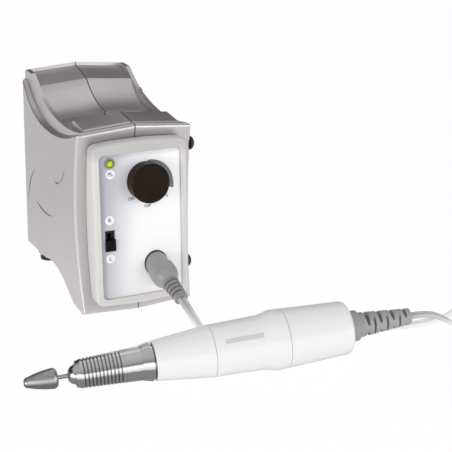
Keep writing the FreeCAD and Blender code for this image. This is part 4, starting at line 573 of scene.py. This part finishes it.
def plain(name, colour, grain, handled, **look):
    """A finish of one colour, with its grain and the traces of handling."""
    return Finish(name, colour, **look).grain(*grain).handled(*handled).done()


def black_satin(name, colour, specular=0.25):
    return plain(name, colour, (0.00025, 0.8, 8e-6), (0.01, 0.1, 1.4), roughness=0.42,
                 specular=specular)


def moulded(name, colour, roughness=0.45):
    return plain(name, colour, (0.00025, 0.9, 6e-6), (0.01, 0.08), roughness=roughness)


def metal(name, colour, roughness):
    return plain(name, colour, (0.0002, 0.88, 3e-6), (0.01, 0.1, 0.8), metallic=1.0,
                 roughness=roughness)


def ink(name, colour):
    return Finish(name, colour, roughness=0.45).grain(0.00015, 0.93, 1e-6).done()


def shell_paint():
    """Silver paint with the seam's dark groove, and painted shade on the sill under the bezel."""
    finish = Finish("silver_paint", paints().shell, metallic=0.85, roughness=0.34, coat=0.1,
                    coat_roughness=0.3)
    finish.grain(0.00016, 0.93, 6e-6).handled(0.03, 0.06)
    tree = finish.tree
    across = split(tree, object_place(tree))["X"]
    seam = sum_node(tree, "ABSOLUTE", sum_node(tree, "SUBTRACT", across, SEAM_X))
    groove = range_node(tree, seam, 0.00016, 0.0004, 1.0, 0.0, smooth=True)
    finish.tint(groove, (0.035, 0.032, 0.034))
    finish.heights.append((sum_node(tree, "SUBTRACT", 1.0, groove), 0.0002))
    # Painted shade on the low front of the shell, under the bezel
    spot = on_panel(tree)
    low = range_node(tree, spot["Y"], *SILL, 1.0, 0.0, smooth=True)
    front = range_node(tree, spot["Z"], -0.006, -0.001, smooth=True)
    return finish.shade(sum_node(tree, "MULTIPLY", low, front), 0.66).done()


def bezel_gloss():
    """Gloss frame, with painted shade on its top band."""
    finish = Finish("bezel_gloss", paints().bezel, roughness=0.3, coat=0.2)
    up = on_panel(finish.tree)["Y"]
    # Painted shade darkens the bezel's top band
    finish.shade(range_node(finish.tree, up, *BEZEL_TOP, smooth=True), 0.76)
    return finish.grain(0.0003, 0.98, 1.5e-6).handled(0.025, 0.05).done()


def panel_foil():
    """Foil with a painted reflection that pales from blue grey at the left, and painted shade from
    the frame at its left and top.
    """
    finish = Finish("panel_foil", paints().panel_left, roughness=0.34)
    tree = finish.tree
    spot = on_panel(tree)
    side, up = spot["X"], spot["Y"]
    # Painted reflection: the foil pales from blue grey at the left to white at the right, along a
    # wavy, leaning line
    drift = noise_node(tree, object_place(tree), 22.0, 1.0)
    lean = sum_node(tree, "MULTIPLY_ADD", drift, 0.004, side)
    lean = sum_node(tree, "MULTIPLY_ADD", up, -0.1, lean)
    finish.tint(range_node(tree, lean, -0.024, 0.006, smooth=True), paints().panel_right)
    # Painted shade from the frame along the window's left and top edges
    from_left = sum_node(tree, "SUBTRACT", side, WINDOW_LEFT)
    from_top = sum_node(tree, "SUBTRACT", WINDOW_TOP, up)
    rim = sum_node(tree, "SMOOTH_MIN", from_left, from_top, 0.003)
    finish.shade(range_node(tree, rim, 0.0, 0.0024, 1.0, 0.0, smooth=True), 0.82)
    return finish.grain(0.00012, 0.985, 1e-6).handled(0.015, 0.07).done()


def lamp_lens():
    """A lit lens: brightest in its middle, darker green at its rim."""
    finish = Finish("lamp_lens", paints().lamp, roughness=0.12, coat=0.6, coat_roughness=0.04)
    tree = finish.tree
    spot = on_panel(tree)
    side = sum_node(tree, "SUBTRACT", spot["X"], LAMP_RIGHT)
    up = sum_node(tree, "SUBTRACT", spot["Y"], LAMP_UP)
    away = sum_node(tree, "SQRT", sum_node(tree, "MULTIPLY_ADD", side, side, sum_node(
        tree, "MULTIPLY", up, up)))
    glow = range_node(tree, away, 0.0010, 0.0031, 1.0, 0.0, smooth=True)
    finish.shade(sum_node(tree, "SUBTRACT", 1.0, glow), 0.35)
    finish.grain(0.0002, 0.92, 2e-6)
    lit = mix_node(tree, glow, (0.05, 0.08, 0.01), (0.46, 0.6, 0.015))
    wire(tree, lit, finish.shader.inputs["Emission Color"])
    finish.shader.inputs["Emission Strength"].default_value = 0.3
    return finish.done()


def plug_rubber():
    """Moulded rubber, with a painted shadow ringing the plug at the panel, painted shade in the
    slots of its end, and a slightly darker end.
    """
    finish = Finish("plug_rubber", paints().plug, roughness=0.36, coat=0.1, coat_roughness=0.25)
    tree = finish.tree
    out = on_panel(tree)["Z"]
    # Painted shadow: the first millimetre of the plug out of the panel is tinted near black
    finish.tint(range_node(tree, out, 0.0006, 0.0017, 1.0, 0.0), (0.04, 0.036, 0.033))
    along = along_plug(tree)
    finish.shade(range_node(tree, along, 0.0192, 0.0198), 0.9)
    # Painted shade in the slots of the plug's end
    turns = sum_node(tree, "DIVIDE", sum_node(tree, "SUBTRACT", along, SLOT_START), SLOT_PITCH)
    slot = within(tree, sum_node(tree, "FRACT", turns), 0.05, 0.45, 0.04)
    slotted = within(tree, turns, 0.0, 3.6, 0.02)
    finish.shade(sum_node(tree, "MULTIPLY", slot, slotted), 0.5)
    return finish.grain(0.0002, 0.92, 6e-6).handled(0.009, 0.1, 1.15).done()


def flex_sheath():
    """Soft sheath, greyest near the plug and paler along the table."""
    finish = Finish("flex_sheath", paints().flex, roughness=0.4)
    height = split(finish.tree, object_place(finish.tree))["Z"]
    finish.shade(range_node(finish.tree, height, 0.012, 0.0225, smooth=True), 0.58)
    return finish.grain(0.0002, 0.95, 4e-6).handled(0.01, 0.08).done()


def white_housing():
    """White gloss with the pale bar that is printed along the middle housing."""
    finish = Finish("white_housing", paints().housing, roughness=0.26, coat=0.12,
                    coat_roughness=0.06, specular=0.35)
    tree = finish.tree
    spot = in_hand(tree)
    near = sum_node(tree, "MULTIPLY", spot["Y"], -1.0)
    angle = sum_node(tree, "ARCTAN2", near, spot["Z"])
    along = sum_node(tree, "MULTIPLY_ADD", angle, -0.0003, spot["X"])
    bar = sum_node(tree, "MULTIPLY", within(tree, along, *BAR_ENDS, 0.0002),
                   within(tree, angle, *BAR_EDGES, math.radians(0.7)))
    finish.tint(bar, paints().band)
    return finish.grain(0.0003, 0.985, 5e-7).handled(0.02, 0.015).done()


def nose_steel():
    """Turned steel, dark in the joint with the white housing."""
    finish = Finish("nose_steel", paints().steel, metallic=1.0, roughness=0.17)
    along = in_hand(finish.tree)["X"]
    finish.shade(range_node(finish.tree, along, NOSE_END, NOSE_END + 0.0006, smooth=True), 0.3)
    return finish.lathe(along, 0.00025, 0.86, 2.5e-6).handled(0.012, 0.06, 0.9).done()


def grooved_steel():
    """Turned steel with painted shade in the sleeve's grooves."""
    finish = Finish("sleeve_steel", paints().steel, metallic=1.0, roughness=0.2)
    tree = finish.tree
    along = in_hand(tree)["X"]
    # Painted shade in the sleeve's grooves
    turns = sum_node(tree, "DIVIDE", sum_node(tree, "SUBTRACT", along, GROOVE_START),
                     GROOVE_PITCH)
    groove = within(tree, sum_node(tree, "FRACT", turns), 0.02, 0.38, 0.05)
    grooved = within(tree, turns, 0.0, 11.0, 0.01)
    finish.tint(sum_node(tree, "MULTIPLY", groove, grooved), (0.3, 0.3, 0.305))
    return finish.lathe(along, 0.0003, 0.86, 2.5e-6).handled(0.012, 0.06, 0.9).done()


def abrasive():
    """Dark fused grit on the sanding tip."""
    finish = Finish("abrasive_grit", (0.36, 0.36, 0.365), metallic=1.0, roughness=0.3)
    tree = finish.tree
    grit = tree.nodes.new("ShaderNodeTexVoronoi")
    grit.inputs["Scale"].default_value = 3600.0
    wire(tree, object_place(tree), grit.inputs["Vector"])
    finish.tint(range_node(tree, grit.outputs["Distance"], 0.25, 0.55), (0.52, 0.52, 0.52))
    finish.heights.append((grit.outputs["Distance"], 0.00005))
    return finish.handled(0.006, 0.1, 1.3).done()


def wound_wire():
    """Lacquered copper turns."""
    finish = Finish("wound_wire", (0.5, 0.21, 0.07), metallic=0.8, roughness=0.3, coat=0.4)
    tree = finish.tree
    turns = tree.nodes.new("ShaderNodeTexWave")
    turns.bands_direction = "Z"
    turns.inputs["Scale"].default_value = 480.0
    turns.inputs["Distortion"].default_value = 1.2
    wire(tree, object_place(tree), turns.inputs["Vector"])
    finish.shade(turns.outputs["Fac"], 0.55)
    finish.heights.append((turns.outputs["Fac"], 0.0002))
    return finish.done()


def board_lacquer():
    """Green lacquer with the paler lines of its tracks."""
    finish = Finish("board_lacquer", (0.012, 0.1, 0.035), roughness=0.28, coat=0.4)
    tree = finish.tree
    tracks = tree.nodes.new("ShaderNodeTexVoronoi")
    tracks.feature = "DISTANCE_TO_EDGE"
    tracks.inputs["Scale"].default_value = 190.0
    wire(tree, object_place(tree), tracks.inputs["Vector"])
    finish.tint(range_node(tree, tracks.outputs["Distance"], 0.03, 0.05, 1.0, 0.0),
                (0.03, 0.22, 0.08))
    return finish.grain(0.0002, 0.9, 2e-6).done()


def clear_glass():
    finish = Finish("fuse_glass", (0.92, 0.95, 0.95), roughness=0.05)
    finish.shader.inputs["Transmission Weight"].default_value = 0.9
    return finish.grain(0.0008, 0.97, 1e-6).done()


FINISH_MAKERS = {
    "shell": shell_paint,
    "bezel": bezel_gloss,
    "panel": panel_foil,
    "knob": lambda: plain("knob_gloss", paints().knob, (0.0005, 0.9, 1.5e-6),
                          (0.008, 0.06, 1.3), roughness=0.25, specular=0.03),
    "slider": lambda: black_satin("slider_black", (0.005, 0.0045, 0.004), 0.1),
    "lamp": lamp_lens,
    "lamp_ring": lambda: black_satin("lamp_ring_grey", (0.3, 0.32, 0.28)),
    "black_plastic": lambda: black_satin("black_satin", (0.012, 0.012, 0.011)),
    "contact": lambda: metal("contact_brass", (0.66, 0.46, 0.18), 0.28),
    "board": board_lacquer,
    "component": lambda: moulded("component_case", (0.03, 0.035, 0.05)),
    "steel": lambda: plain("plain_steel", (0.52, 0.52, 0.53), (0.0003, 0.86, 4e-6),
                           (0.012, 0.1, 0.85), metallic=1.0, roughness=0.32),
    "copper": wound_wire,
    "heat_sink": lambda: metal("drawn_aluminium", (0.62, 0.62, 0.64), 0.38),
    "fuse": clear_glass,
    "foot": lambda: plain("foot_rubber", (0.016, 0.016, 0.017), (0.0003, 0.75, 1e-5),
                          (0.006, 0.12, 1.8), roughness=0.5),
    "plug": plug_rubber,
    "flex": flex_sheath,
    "tie": lambda: moulded("tie_band", (0.7, 0.7, 0.7), 0.5),
    "housing": white_housing,
    "nose": nose_steel,
    "sleeve": grooved_steel,
    "boot": lambda: plain("boot_rubber", paints().boot, (0.00025, 0.88, 8e-6),
                          (0.008, 0.1, 1.2), roughness=0.45),
    "grit": abrasive,
    "magnet": lambda: metal("magnet_ferrite", (0.06, 0.06, 0.065), 0.5),
    "carbon": lambda: moulded("brush_carbon", (0.02, 0.02, 0.02), 0.55),
    "print_grey": lambda: ink("panel_ink", paints().mark),
    "print_white": lambda: ink("disc_ink", (0.9, 0.9, 0.9)),
}
FINISHES = {}


def finish_of(slot):
    if slot not in FINISHES:
        FINISHES[slot] = FINISH_MAKERS[slot]()
    return FINISHES[slot]


def dress(*nodes, degrees=30):
    return [dressed(node, finish_of(NODE_SLOTS[node]), degrees) for node in nodes]


# Studio
def studio_camera():
    studio = bpy.context.scene.nail_drill_studio
    flat = math.cos(studio.elevation)
    back = Vector((-math.sin(studio.azimuth) * flat, -math.cos(studio.azimuth) * flat,
                   math.sin(studio.elevation)))
    clear_selection()
    bpy.ops.object.camera_add(location=Vector(studio.target) + back * studio.distance)
    camera = bpy.context.object
    camera.name = "studio_camera"
    camera.data.lens = studio.lens
    camera.data.sensor_width = 36
    camera.data.clip_start = 0.01
    camera.data.clip_end = 60
    turn = Matrix.Rotation(-studio.azimuth, 4, "Z") @ Matrix.Rotation(
        math.pi / 2 - studio.elevation, 4, "X") @ Matrix.Rotation(studio.roll, 4, "Z")
    camera.rotation_euler = turn.to_euler()
    bpy.context.scene.camera = camera


def blend_shaders(tree, share, first, second):
    blend = tree.nodes.new("ShaderNodeMixShader")
    for socket, value in zip(blend.inputs, (share, first, second)):
        wire(tree, value, socket)
    return blend.outputs["Shader"]


def paper_finish():
    """White paper that camera, gloss and glass see as white, with a trace of shadow left on it.

    To gloss it shows painted light that fades far back, and a painted shadow close under the
    handpiece.
    """
    finish = Finish("studio_paper", (0.93, 0.93, 0.93), roughness=0.9, specular=0.0)
    finish.grain(0.004, 0.995, 1e-5)
    material = finish.done()
    tree = finish.tree
    glow = tree.nodes.new("ShaderNodeEmission")
    wire_colour(tree, (1.0, 1.0, 1.0), glow.inputs["Color"])
    rays = tree.nodes.new("ShaderNodeLightPath")
    gloss = rays.outputs["Is Glossy Ray"]
    away = split(tree, object_place(tree))["Y"]
    # Painted shadow for gloss close under the handpiece, where the ray is short
    near = range_node(tree, rays.outputs["Ray Length"], 0.028, 0.042, 1.0, 0.0, smooth=True)
    near = sum_node(tree, "MULTIPLY", near, range_node(tree, away, -0.07, -0.045, 0.75, 0.0))
    # Painted light for gloss: brighter in front, darker far back
    back = range_node(tree, away, -0.1, 0.2, 1.1, 0.75)
    tone = sum_node(tree, "MULTIPLY", back, sum_node(tree, "SUBTRACT", 1.0, near))
    change = sum_node(tree, "SUBTRACT", tone, 1.0)
    wire(tree, sum_node(tree, "MULTIPLY_ADD", gloss, change, 1.0), glow.inputs["Strength"])
    seen = sum_node(tree, "MAXIMUM", rays.outputs["Is Camera Ray"], gloss)
    seen = sum_node(tree, "MAXIMUM", seen, rays.outputs["Is Transmission Ray"])
    share = sum_node(tree, "MULTIPLY_ADD", 0.18, seen, 0.8)
    shown = blend_shaders(tree, share, finish.shader.outputs["BSDF"], glow.outputs["Emission"])
    wire(tree, shown, tree.nodes["Material Output"].inputs["Surface"])
    return material


def studio_floor():
    clear_selection()
    bpy.ops.mesh.primitive_plane_add(size=8, location=(0, 0, 0))
    floor = bpy.context.object
    floor.name = "studio_floor"
    edit_all(floor)
    bpy.ops.mesh.subdivide(number_cuts=3)
    done_editing()
    give(floor, paper_finish())


def ramp_node(tree, value, *stops):
    """Grey levels over the value, from (value, level) stops in rising order."""
    node = tree.nodes.new("ShaderNodeValToRGB")
    wire(tree, value, node.inputs["Fac"])
    ramp = node.color_ramp
    ramp.elements[0].position, ramp.elements[1].position = stops[0][0], stops[-1][0]
    for spot, _ in stops[1:-1]:
        ramp.elements.new(spot)
    for element, (_, level) in zip(ramp.elements, stops):
        element.color = (level, level, level, 1.0)
    return node.outputs["Color"]


def sky_light(tree, colour):
    background = tree.nodes.new("ShaderNodeBackground")
    background.inputs["Strength"].default_value = 1.0
    wire_colour(tree, colour, background.inputs["Color"])
    return background.outputs["Background"]


def studio_surroundings():
    """White to the camera, a bright low ring to matt surfaces, and a bright front to gloss."""
    world = bpy.data.worlds.new("studio_surroundings")
    bpy.context.scene.world = world
    world.use_nodes = True
    tree = world.node_tree
    tree.nodes.clear()
    out = tree.nodes.new("ShaderNodeOutputWorld")
    heading = split(tree, tree.nodes.new("ShaderNodeTexCoord").outputs["Generated"])
    height = heading["Z"]
    soft = ramp_node(tree, height, (0.0, 1.25), (0.3, 1.1), (0.6, 0.65), (1.0, 0.6))
    front = ramp_node(tree, height, (0.0, 1.7), (0.2, 1.8), (0.34, 0.12), (0.6, 0.42),
                      (1.0, 0.58))
    rear = ramp_node(tree, height, (0.0, 0.03), (0.64, 0.03), (0.86, 0.5), (1.0, 0.58))
    shine = mix_node(tree, range_node(tree, heading["Y"], -0.3, 0.1, smooth=True), front, rear)
    rays = tree.nodes.new("ShaderNodeLightPath").outputs
    seen = sky_light(tree, soft)
    seen = blend_shaders(tree, rays["Is Glossy Ray"], seen, sky_light(tree, shine))
    white = sky_light(tree, (1.0, 1.0, 1.0))
    for ray in ("Is Transmission Ray", "Is Camera Ray"):
        seen = blend_shaders(tree, rays[ray], seen, white)
    wire(tree, seen, out.inputs["Surface"])


def soft_box(name, spot, aim, size, power):
    clear_selection()
    bpy.ops.object.light_add(type="AREA", location=spot)
    lamp = bpy.context.object
    lamp.name = name
    lamp.data.shape = "RECTANGLE"
    lamp.data.size, lamp.data.size_y = size
    lamp.data.energy = power
    lamp.rotation_euler = (Vector(aim) - Vector(spot)).to_track_quat("-Z", "Y").to_euler()
    lamp.visible_camera = False
    return lamp


class NAILDRILL_OT_studio(bpy.types.Operator):
    """Camera, floor, surroundings and soft boxes"""
    bl_idname = "nail_drill.studio"
    bl_label = "Studio"

    def execute(self, context):
        studio = context.scene.nail_drill_studio
        studio_camera()
        studio_floor()
        studio_surroundings()
        soft_box("key_box", (-1.0, -0.5, 0.16), (0, 0, 0.06), (0.5, 0.3), studio.key_power)
        soft_box("fill_box", (0.7, -1.0, 0.35), (0, 0, 0.05), (0.6, 0.4), studio.fill_power)
        cradle_box = soft_box("cradle_box", (0.06, 0.19, 0.42), (-0.01, 0.08, 0.12), (0.5, 0.22),
                              studio.cradle_power)
        cradle_box.visible_diffuse = False
        context.scene.view_settings.view_transform = "Standard"
        return {"FINISHED"}


# Twin flex, with its routes in millimetres
PLUG_END_ROUTE = [
    (-1.7, -35.2, 22.3), (-1.3, -41.3, 20.1), (-0.2, -48.6, 15.7), (2.4, -54.8, 10.3),
    (7.9, -59.4, 5.6), (15.8, -62.2, 2.6), (26.8, -64.0, 1.7), (42.0, -65.2, 1.6),
    (59.0, -68.5, 1.6), (78.0, -72.7, 1.6), (98.0, -76.7, 1.6), (118.0, -81.8, 1.6),
    (138.0, -85.6, 1.7), (157.5, -84.6, 2.5), (173.7, -79.0, 3.4),
]
HANDPIECE_END_ROUTE = [
    (175.9, -127.3, 9.8), (163.0, -121.7, 5.2), (150.8, -118.6, 7.0), (140.6, -116.4, 13.4),
    (131.0, -114.4, 20.0), (120.9, -112.4, 24.0), (109.4, -110.3, 23.1),
]
COIL_START = math.radians(120)
COIL_TURNS = 17 / 3
COIL_STEPS = 14
COIL_CLIMB = 0.5
POINT_GAP = 0.0009
WEB_SHARE = 0.42
EDGE_SHARE = 1.34
EDGE_TURN = 0.03


def eased(share):
    """0 to 1 with a soft start and end."""
    share = min(max(share, 0.0), 1.0)
    return share * share * (3 - 2 * share)


def coil_points():
    """Inwards on the low layer, then outwards on the high one, with straight leads."""
    flex = bpy.context.scene.nail_drill_flex
    half = COIL_TURNS / 2
    inner = flex.coil_radius - flex.coil_pitch * half / 2
    steps = round(COIL_STEPS * COIL_TURNS)
    points = []
    for i in range(steps + 1):
        turns = COIL_TURNS * i / steps
        angle = COIL_START - 2 * math.pi * turns
        radius = inner + flex.coil_pitch * abs(turns - half)
        climb = eased((turns - half) / COIL_CLIMB + 0.5)
        points.append(Vector((
            flex.coil_side + radius * math.cos(angle),
            flex.coil_back + radius * math.sin(angle),
            flex.coil_low + flex.coil_rise * climb)))
    lead_in = points[0] + (points[0] - points[1]).normalized() * flex.width
    lead_out = points[-1] + (points[-1] - points[-2]).normalized() * flex.width
    return [lead_in] + points + [lead_out]


def flex_route():
    return ([Vector(point) / 1000 for point in PLUG_END_ROUTE] + coil_points()
            + [Vector(point) / 1000 for point in HANDPIECE_END_ROUTE])


def read_spline(route):
    """Even points along the line that the route's points control."""
    curve = bpy.data.curves.new("flex_line", "CURVE")
    curve.dimensions = "3D"
    spline = curve.splines.new("NURBS")
    spline.points.add(len(route) - 1)
    for point, spot in zip(spline.points, route):
        point.co = (*spot, 1.0)
    spline.order_u = 3
    spline.use_endpoint_u = True
    spline.resolution_u = 12
    holder = bpy.data.objects.new("flex_line", curve)
    bpy.context.scene.collection.objects.link(holder)
    bpy.context.view_layer.update()
    depsgraph = bpy.context.evaluated_depsgraph_get()
    mesh = bpy.data.meshes.new_from_object(holder.evaluated_get(depsgraph))
    line = [vertex.co.copy() for vertex in mesh.vertices]
    bpy.data.objects.remove(holder)
    bpy.data.curves.remove(curve)
    bpy.data.meshes.remove(mesh)
    points = [line[0]]
    for spot in line[1:]:
        if (spot - points[-1]).length > POINT_GAP:
            points.append(spot)
    points[-1] = line[-1]
    return points


def twin_section(width, thickness, count=10):
    """Two round cores side by side, as (across, up) points."""
    radius = thickness / 2
    middle = (width - thickness) / 2
    start = math.asin(WEB_SHARE)
    points = []
    for side in (1, -1):
        for i in range(count + 1):
            angle = -math.pi + start + (2 * math.pi - 2 * start) * i / count
            spot = (middle + radius * math.cos(angle), radius * math.sin(angle))
            points.append((spot[0] * side, spot[1] * side))
    return points


def coil_share(spot):
    """0 on the table, 1 in the coil, where the flex stands on its edge."""
    flex = bpy.context.scene.nail_drill_flex
    away = math.hypot(spot.x - flex.coil_side, spot.y - flex.coil_back)
    return eased(1 - (away - flex.coil_radius * EDGE_SHARE) / EDGE_TURN)


def sweep_flex(name, points, section):
    """The section swept along the points, closed at both ends."""
    rings = []
    for i, spot in enumerate(points):
        heading = (points[min(i + 1, len(points) - 1)] - points[max(i - 1, 0)]).normalized()
        level = heading.cross(Vector((0, 0, 1))).normalized()
        upright = level.cross(heading)
        angle = coil_share(spot) * math.pi / 2
        across = level * math.cos(angle) + upright * math.sin(angle)
        over = upright * math.cos(angle) - level * math.sin(angle)
        rings.append([spot + across * side + over * up for side, up in section])
    count = len(section)
    vertices = [tuple(spot) for ring in rings for spot in ring]
    faces = []
    for i in range(len(rings) - 1):
        for j in range(count):
            k = (j + 1) % count
            faces.append((i * count + j, i * count + k, (i + 1) * count + k, (i + 1) * count + j))
    last = (len(rings) - 1) * count
    faces.append(tuple(range(count - 1, -1, -1)))
    faces.append(tuple(last + j for j in range(count)))
    mesh = bpy.data.meshes.new(name)
    mesh.from_pydata(vertices, [], faces)
    piece = bpy.data.objects.new(name, mesh)
    bpy.context.scene.collection.objects.link(piece)
    edit_all(piece)
    bpy.ops.mesh.normals_make_consistent(inside=False)
    done_editing()
    return smoothed(piece, 50)


class NAILDRILL_OT_flex(bpy.types.Operator):
    """Twin flex from the plug along the table, through its tied coil and into the handpiece"""
    bl_idname = "nail_drill.flex"
    bl_label = "Twin Flex"

    def execute(self, context):
        flex = context.scene.nail_drill_flex
        points = read_spline(flex_route())
        piece = sweep_flex("twin_flex", points, twin_section(flex.width, flex.thickness))
        give(piece, finish_of("flex"))
        mount(piece, "machine", "flex", "cord_front", "cord_coil", "cord_back")
        tie, = dress("cord_tie")
        plug_pieces = dress("plug_body", "plug_boot", degrees=28)
        NODES["plug_pins"].material_slots[0].material = finish_of("contact")
        return {"FINISHED"}


# Control box
class NAILDRILL_OT_box(bpy.types.Operator):
    """Both shell halves with their feet and screws"""
    bl_idname = "nail_drill.box"
    bl_label = "Box Shell"

    def execute(self, context):
        dress("left_shell", "right_shell", degrees=24)
        dress("base_feet", "side_feet", "shell_screws")
        return {"FINISHED"}


class NAILDRILL_OT_panel(bpy.types.Operator):
    """Front panel with its frame, lamp, slide switch and socket"""
    bl_idname = "nail_drill.panel"
    bl_label = "Front Panel"

    def execute(self, context):
        dress("bezel", "front_panel")
        dress("power_lamp", "lamp_ring", "direction_switch", "direction_slider",
              "handpiece_socket", degrees=35)
        return {"FINISHED"}


class NAILDRILL_OT_knob(bpy.types.Operator):
    """Speed knob"""
    bl_idname = "nail_drill.knob"
    bl_label = "Speed Knob"

    def execute(self, context):
        dress("speed_knob", degrees=35)
        return {"FINISHED"}


class NAILDRILL_OT_rear(bpy.types.Operator):
    """Rear plate with the mains inlet and the fuse"""
    bl_idname = "nail_drill.rear"
    bl_label = "Rear Plate"

    def execute(self, context):
        dress("rear_plate", "mains_inlet", "fuse_holder", "fuse_cap")
        return {"FINISHED"}


# Printed marks
def thicken(piece, depth):
    """A flat face made a closed plate."""
    edit_all(piece)
    bpy.ops.mesh.extrude_region_move(TRANSFORM_OT_translate={"value": (0, 0, depth)})
    bpy.ops.mesh.select_all(action="SELECT")
    bpy.ops.mesh.normals_make_consistent(inside=False)
    done_editing()


def print_on_panel(piece, matrix, ink_slot):
    place(piece, matrix)
    give(piece, finish_of(ink_slot))
    mount(piece, "machine", "panel")


def printed_disc(name, side, up):
    marks = bpy.context.scene.nail_drill_marks
    clear_selection()
    bpy.ops.mesh.primitive_circle_add(vertices=48, radius=marks.disc_radius, fill_type="NGON")
    disc = bpy.context.object
    disc.name = name
    thicken(disc, marks.thickness)
    print_on_panel(disc, panel_place(side, up, INK_LIFT), "print_white")


def printed_word(name, word, side, up, height, turn=0.0, proud=INK_LIFT):
    marks = bpy.context.scene.nail_drill_marks
    clear_selection()
    bpy.ops.object.text_add()
    text = bpy.context.object
    text.name = name
    text.data.body = word
    text.data.size = height
    text.data.align_x = "CENTER"
    text.data.align_y = "CENTER"
    text.data.extrude = marks.thickness / 2
    text.data.offset = marks.weight
    text.data.resolution_u = 4
    bpy.ops.object.convert(target="MESH")
    letters = bpy.context.object
    edit_all(letters)
    bpy.ops.mesh.remove_doubles(threshold=5e-7)
    done_editing()
    middle = panel_place(side, up, proud + marks.thickness / 2)
    print_on_panel(letters, middle @ Matrix.Rotation(turn, 4, "Z"), "print_grey")


def speed_wedge():
    """Grey wedge round the knob that widens clockwise."""
    marks = bpy.context.scene.nail_drill_marks
    clear_selection()
    bpy.ops.mesh.primitive_grid_add(x_subdivisions=60, y_subdivisions=1, size=2)
    wedge = bpy.context.object
    wedge.name = "speed_wedge"
    for vertex in wedge.data.vertices:
        share = (vertex.co.x + 1) / 2
        angle = marks.wedge_start + (marks.wedge_end - marks.wedge_start) * share
        radius = WEDGE_INNER
        if vertex.co.y > 0:
            radius = marks.wedge_radius + marks.wedge_growth * share
        vertex.co = (radius * math.cos(angle), radius * math.sin(angle), 0)
    thicken(wedge, marks.thickness)
    print_on_panel(wedge, panel_place(KNOB_RIGHT, 0, INK_LIFT), "print_grey")


class NAILDRILL_OT_marks(bpy.types.Operator):
    """White discs with PL, R and L, the words ON and OFF and the speed wedge"""
    bl_idname = "nail_drill.marks"
    bl_label = "Printed Marks"

    def execute(self, context):
        marks = context.scene.nail_drill_marks
        lift = marks.thickness + LETTER_LIFT
        for name, word, side, up in DISC_MARKS:
            printed_disc(name + "_disc", side, up)
            printed_word(name, word, side, up, marks.disc_letter, proud=lift)
        for name, word, side, up, turn in WORD_MARKS:
            printed_word(name, word, side, up, marks.word_height, turn)
        speed_wedge()
        return {"FINISHED"}


# Handpiece
class NAILDRILL_OT_handpiece(bpy.types.Operator):
    """Housings of the handpiece with the strain relief behind them"""
    bl_idname = "nail_drill.handpiece"
    bl_label = "Handpiece"

    def execute(self, context):
        dress("front_housing", "middle_housing", "rear_cap", degrees=20)
        dress("handpiece_boot", degrees=35)
        return {"FINISHED"}


class NAILDRILL_OT_chuck(bpy.types.Operator):
    """Steel nose, grooved twist sleeve, nose cap, spindle, collet and the sanding bit"""
    bl_idname = "nail_drill.chuck"
    bl_label = "Chuck and Bit"

    def execute(self, context):
        dress("nose_housing", "nose_cap", "twist_sleeve", degrees=35)
        dress("spindle", "collet", "bit_shank", "bit_head")
        return {"FINISHED"}


class NAILDRILL_OT_inner(bpy.types.Operator):
    """Finishes for every inner part that keeps its CAD shape"""
    bl_idname = "nail_drill.inner"
    bl_label = "Inner Parts"

    def execute(self, context):
        for name, node in NODES.items():
            if "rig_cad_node" in node and not node.hide_render:
                node.material_slots[0].material = finish_of(NODE_SLOTS[name])
        return {"FINISHED"}


STEPS = (
    NAILDRILL_OT_studio,
    NAILDRILL_OT_flex,
    NAILDRILL_OT_box,
    NAILDRILL_OT_panel,
    NAILDRILL_OT_knob,
    NAILDRILL_OT_rear,
    NAILDRILL_OT_marks,
    NAILDRILL_OT_handpiece,
    NAILDRILL_OT_chuck,
    NAILDRILL_OT_inner,
)


class NAILDRILL_PT_bench(bpy.types.Panel):
    """Steps that dress the nail drill machine"""
    bl_label = "Nail Drill"
    bl_idname = "NAILDRILL_PT_bench"
    bl_space_type = "VIEW_3D"
    bl_region_type = "UI"
    bl_category = "Nail Drill"

    def draw(self, context):
        for step in STEPS:
            self.layout.operator(step.bl_idname)
        for group in SETTING_GROUPS:
            settings = getattr(context.scene, group)
            for name in settings.bl_rna.properties.keys():
                if name not in ("rna_type", "name"):
                    self.layout.prop(settings, name)


CLASSES = (*SETTING_GROUPS.values(), *STEPS, NAILDRILL_PT_bench)


def register():
    for item in CLASSES:
        bpy.utils.register_class(item)
    for name, group in SETTING_GROUPS.items():
        setattr(bpy.types.Scene, name, bpy.props.PointerProperty(type=group))


def unregister():
    for name in SETTING_GROUPS:
        delattr(bpy.types.Scene, name)
    for item in reversed(CLASSES):
        bpy.utils.unregister_class(item)


def main():
    register()
    for step in STEPS:
        group, name = step.bl_idname.split(".")
        getattr(getattr(bpy.ops, group), name)()


if __name__ == "__main__":
    main()
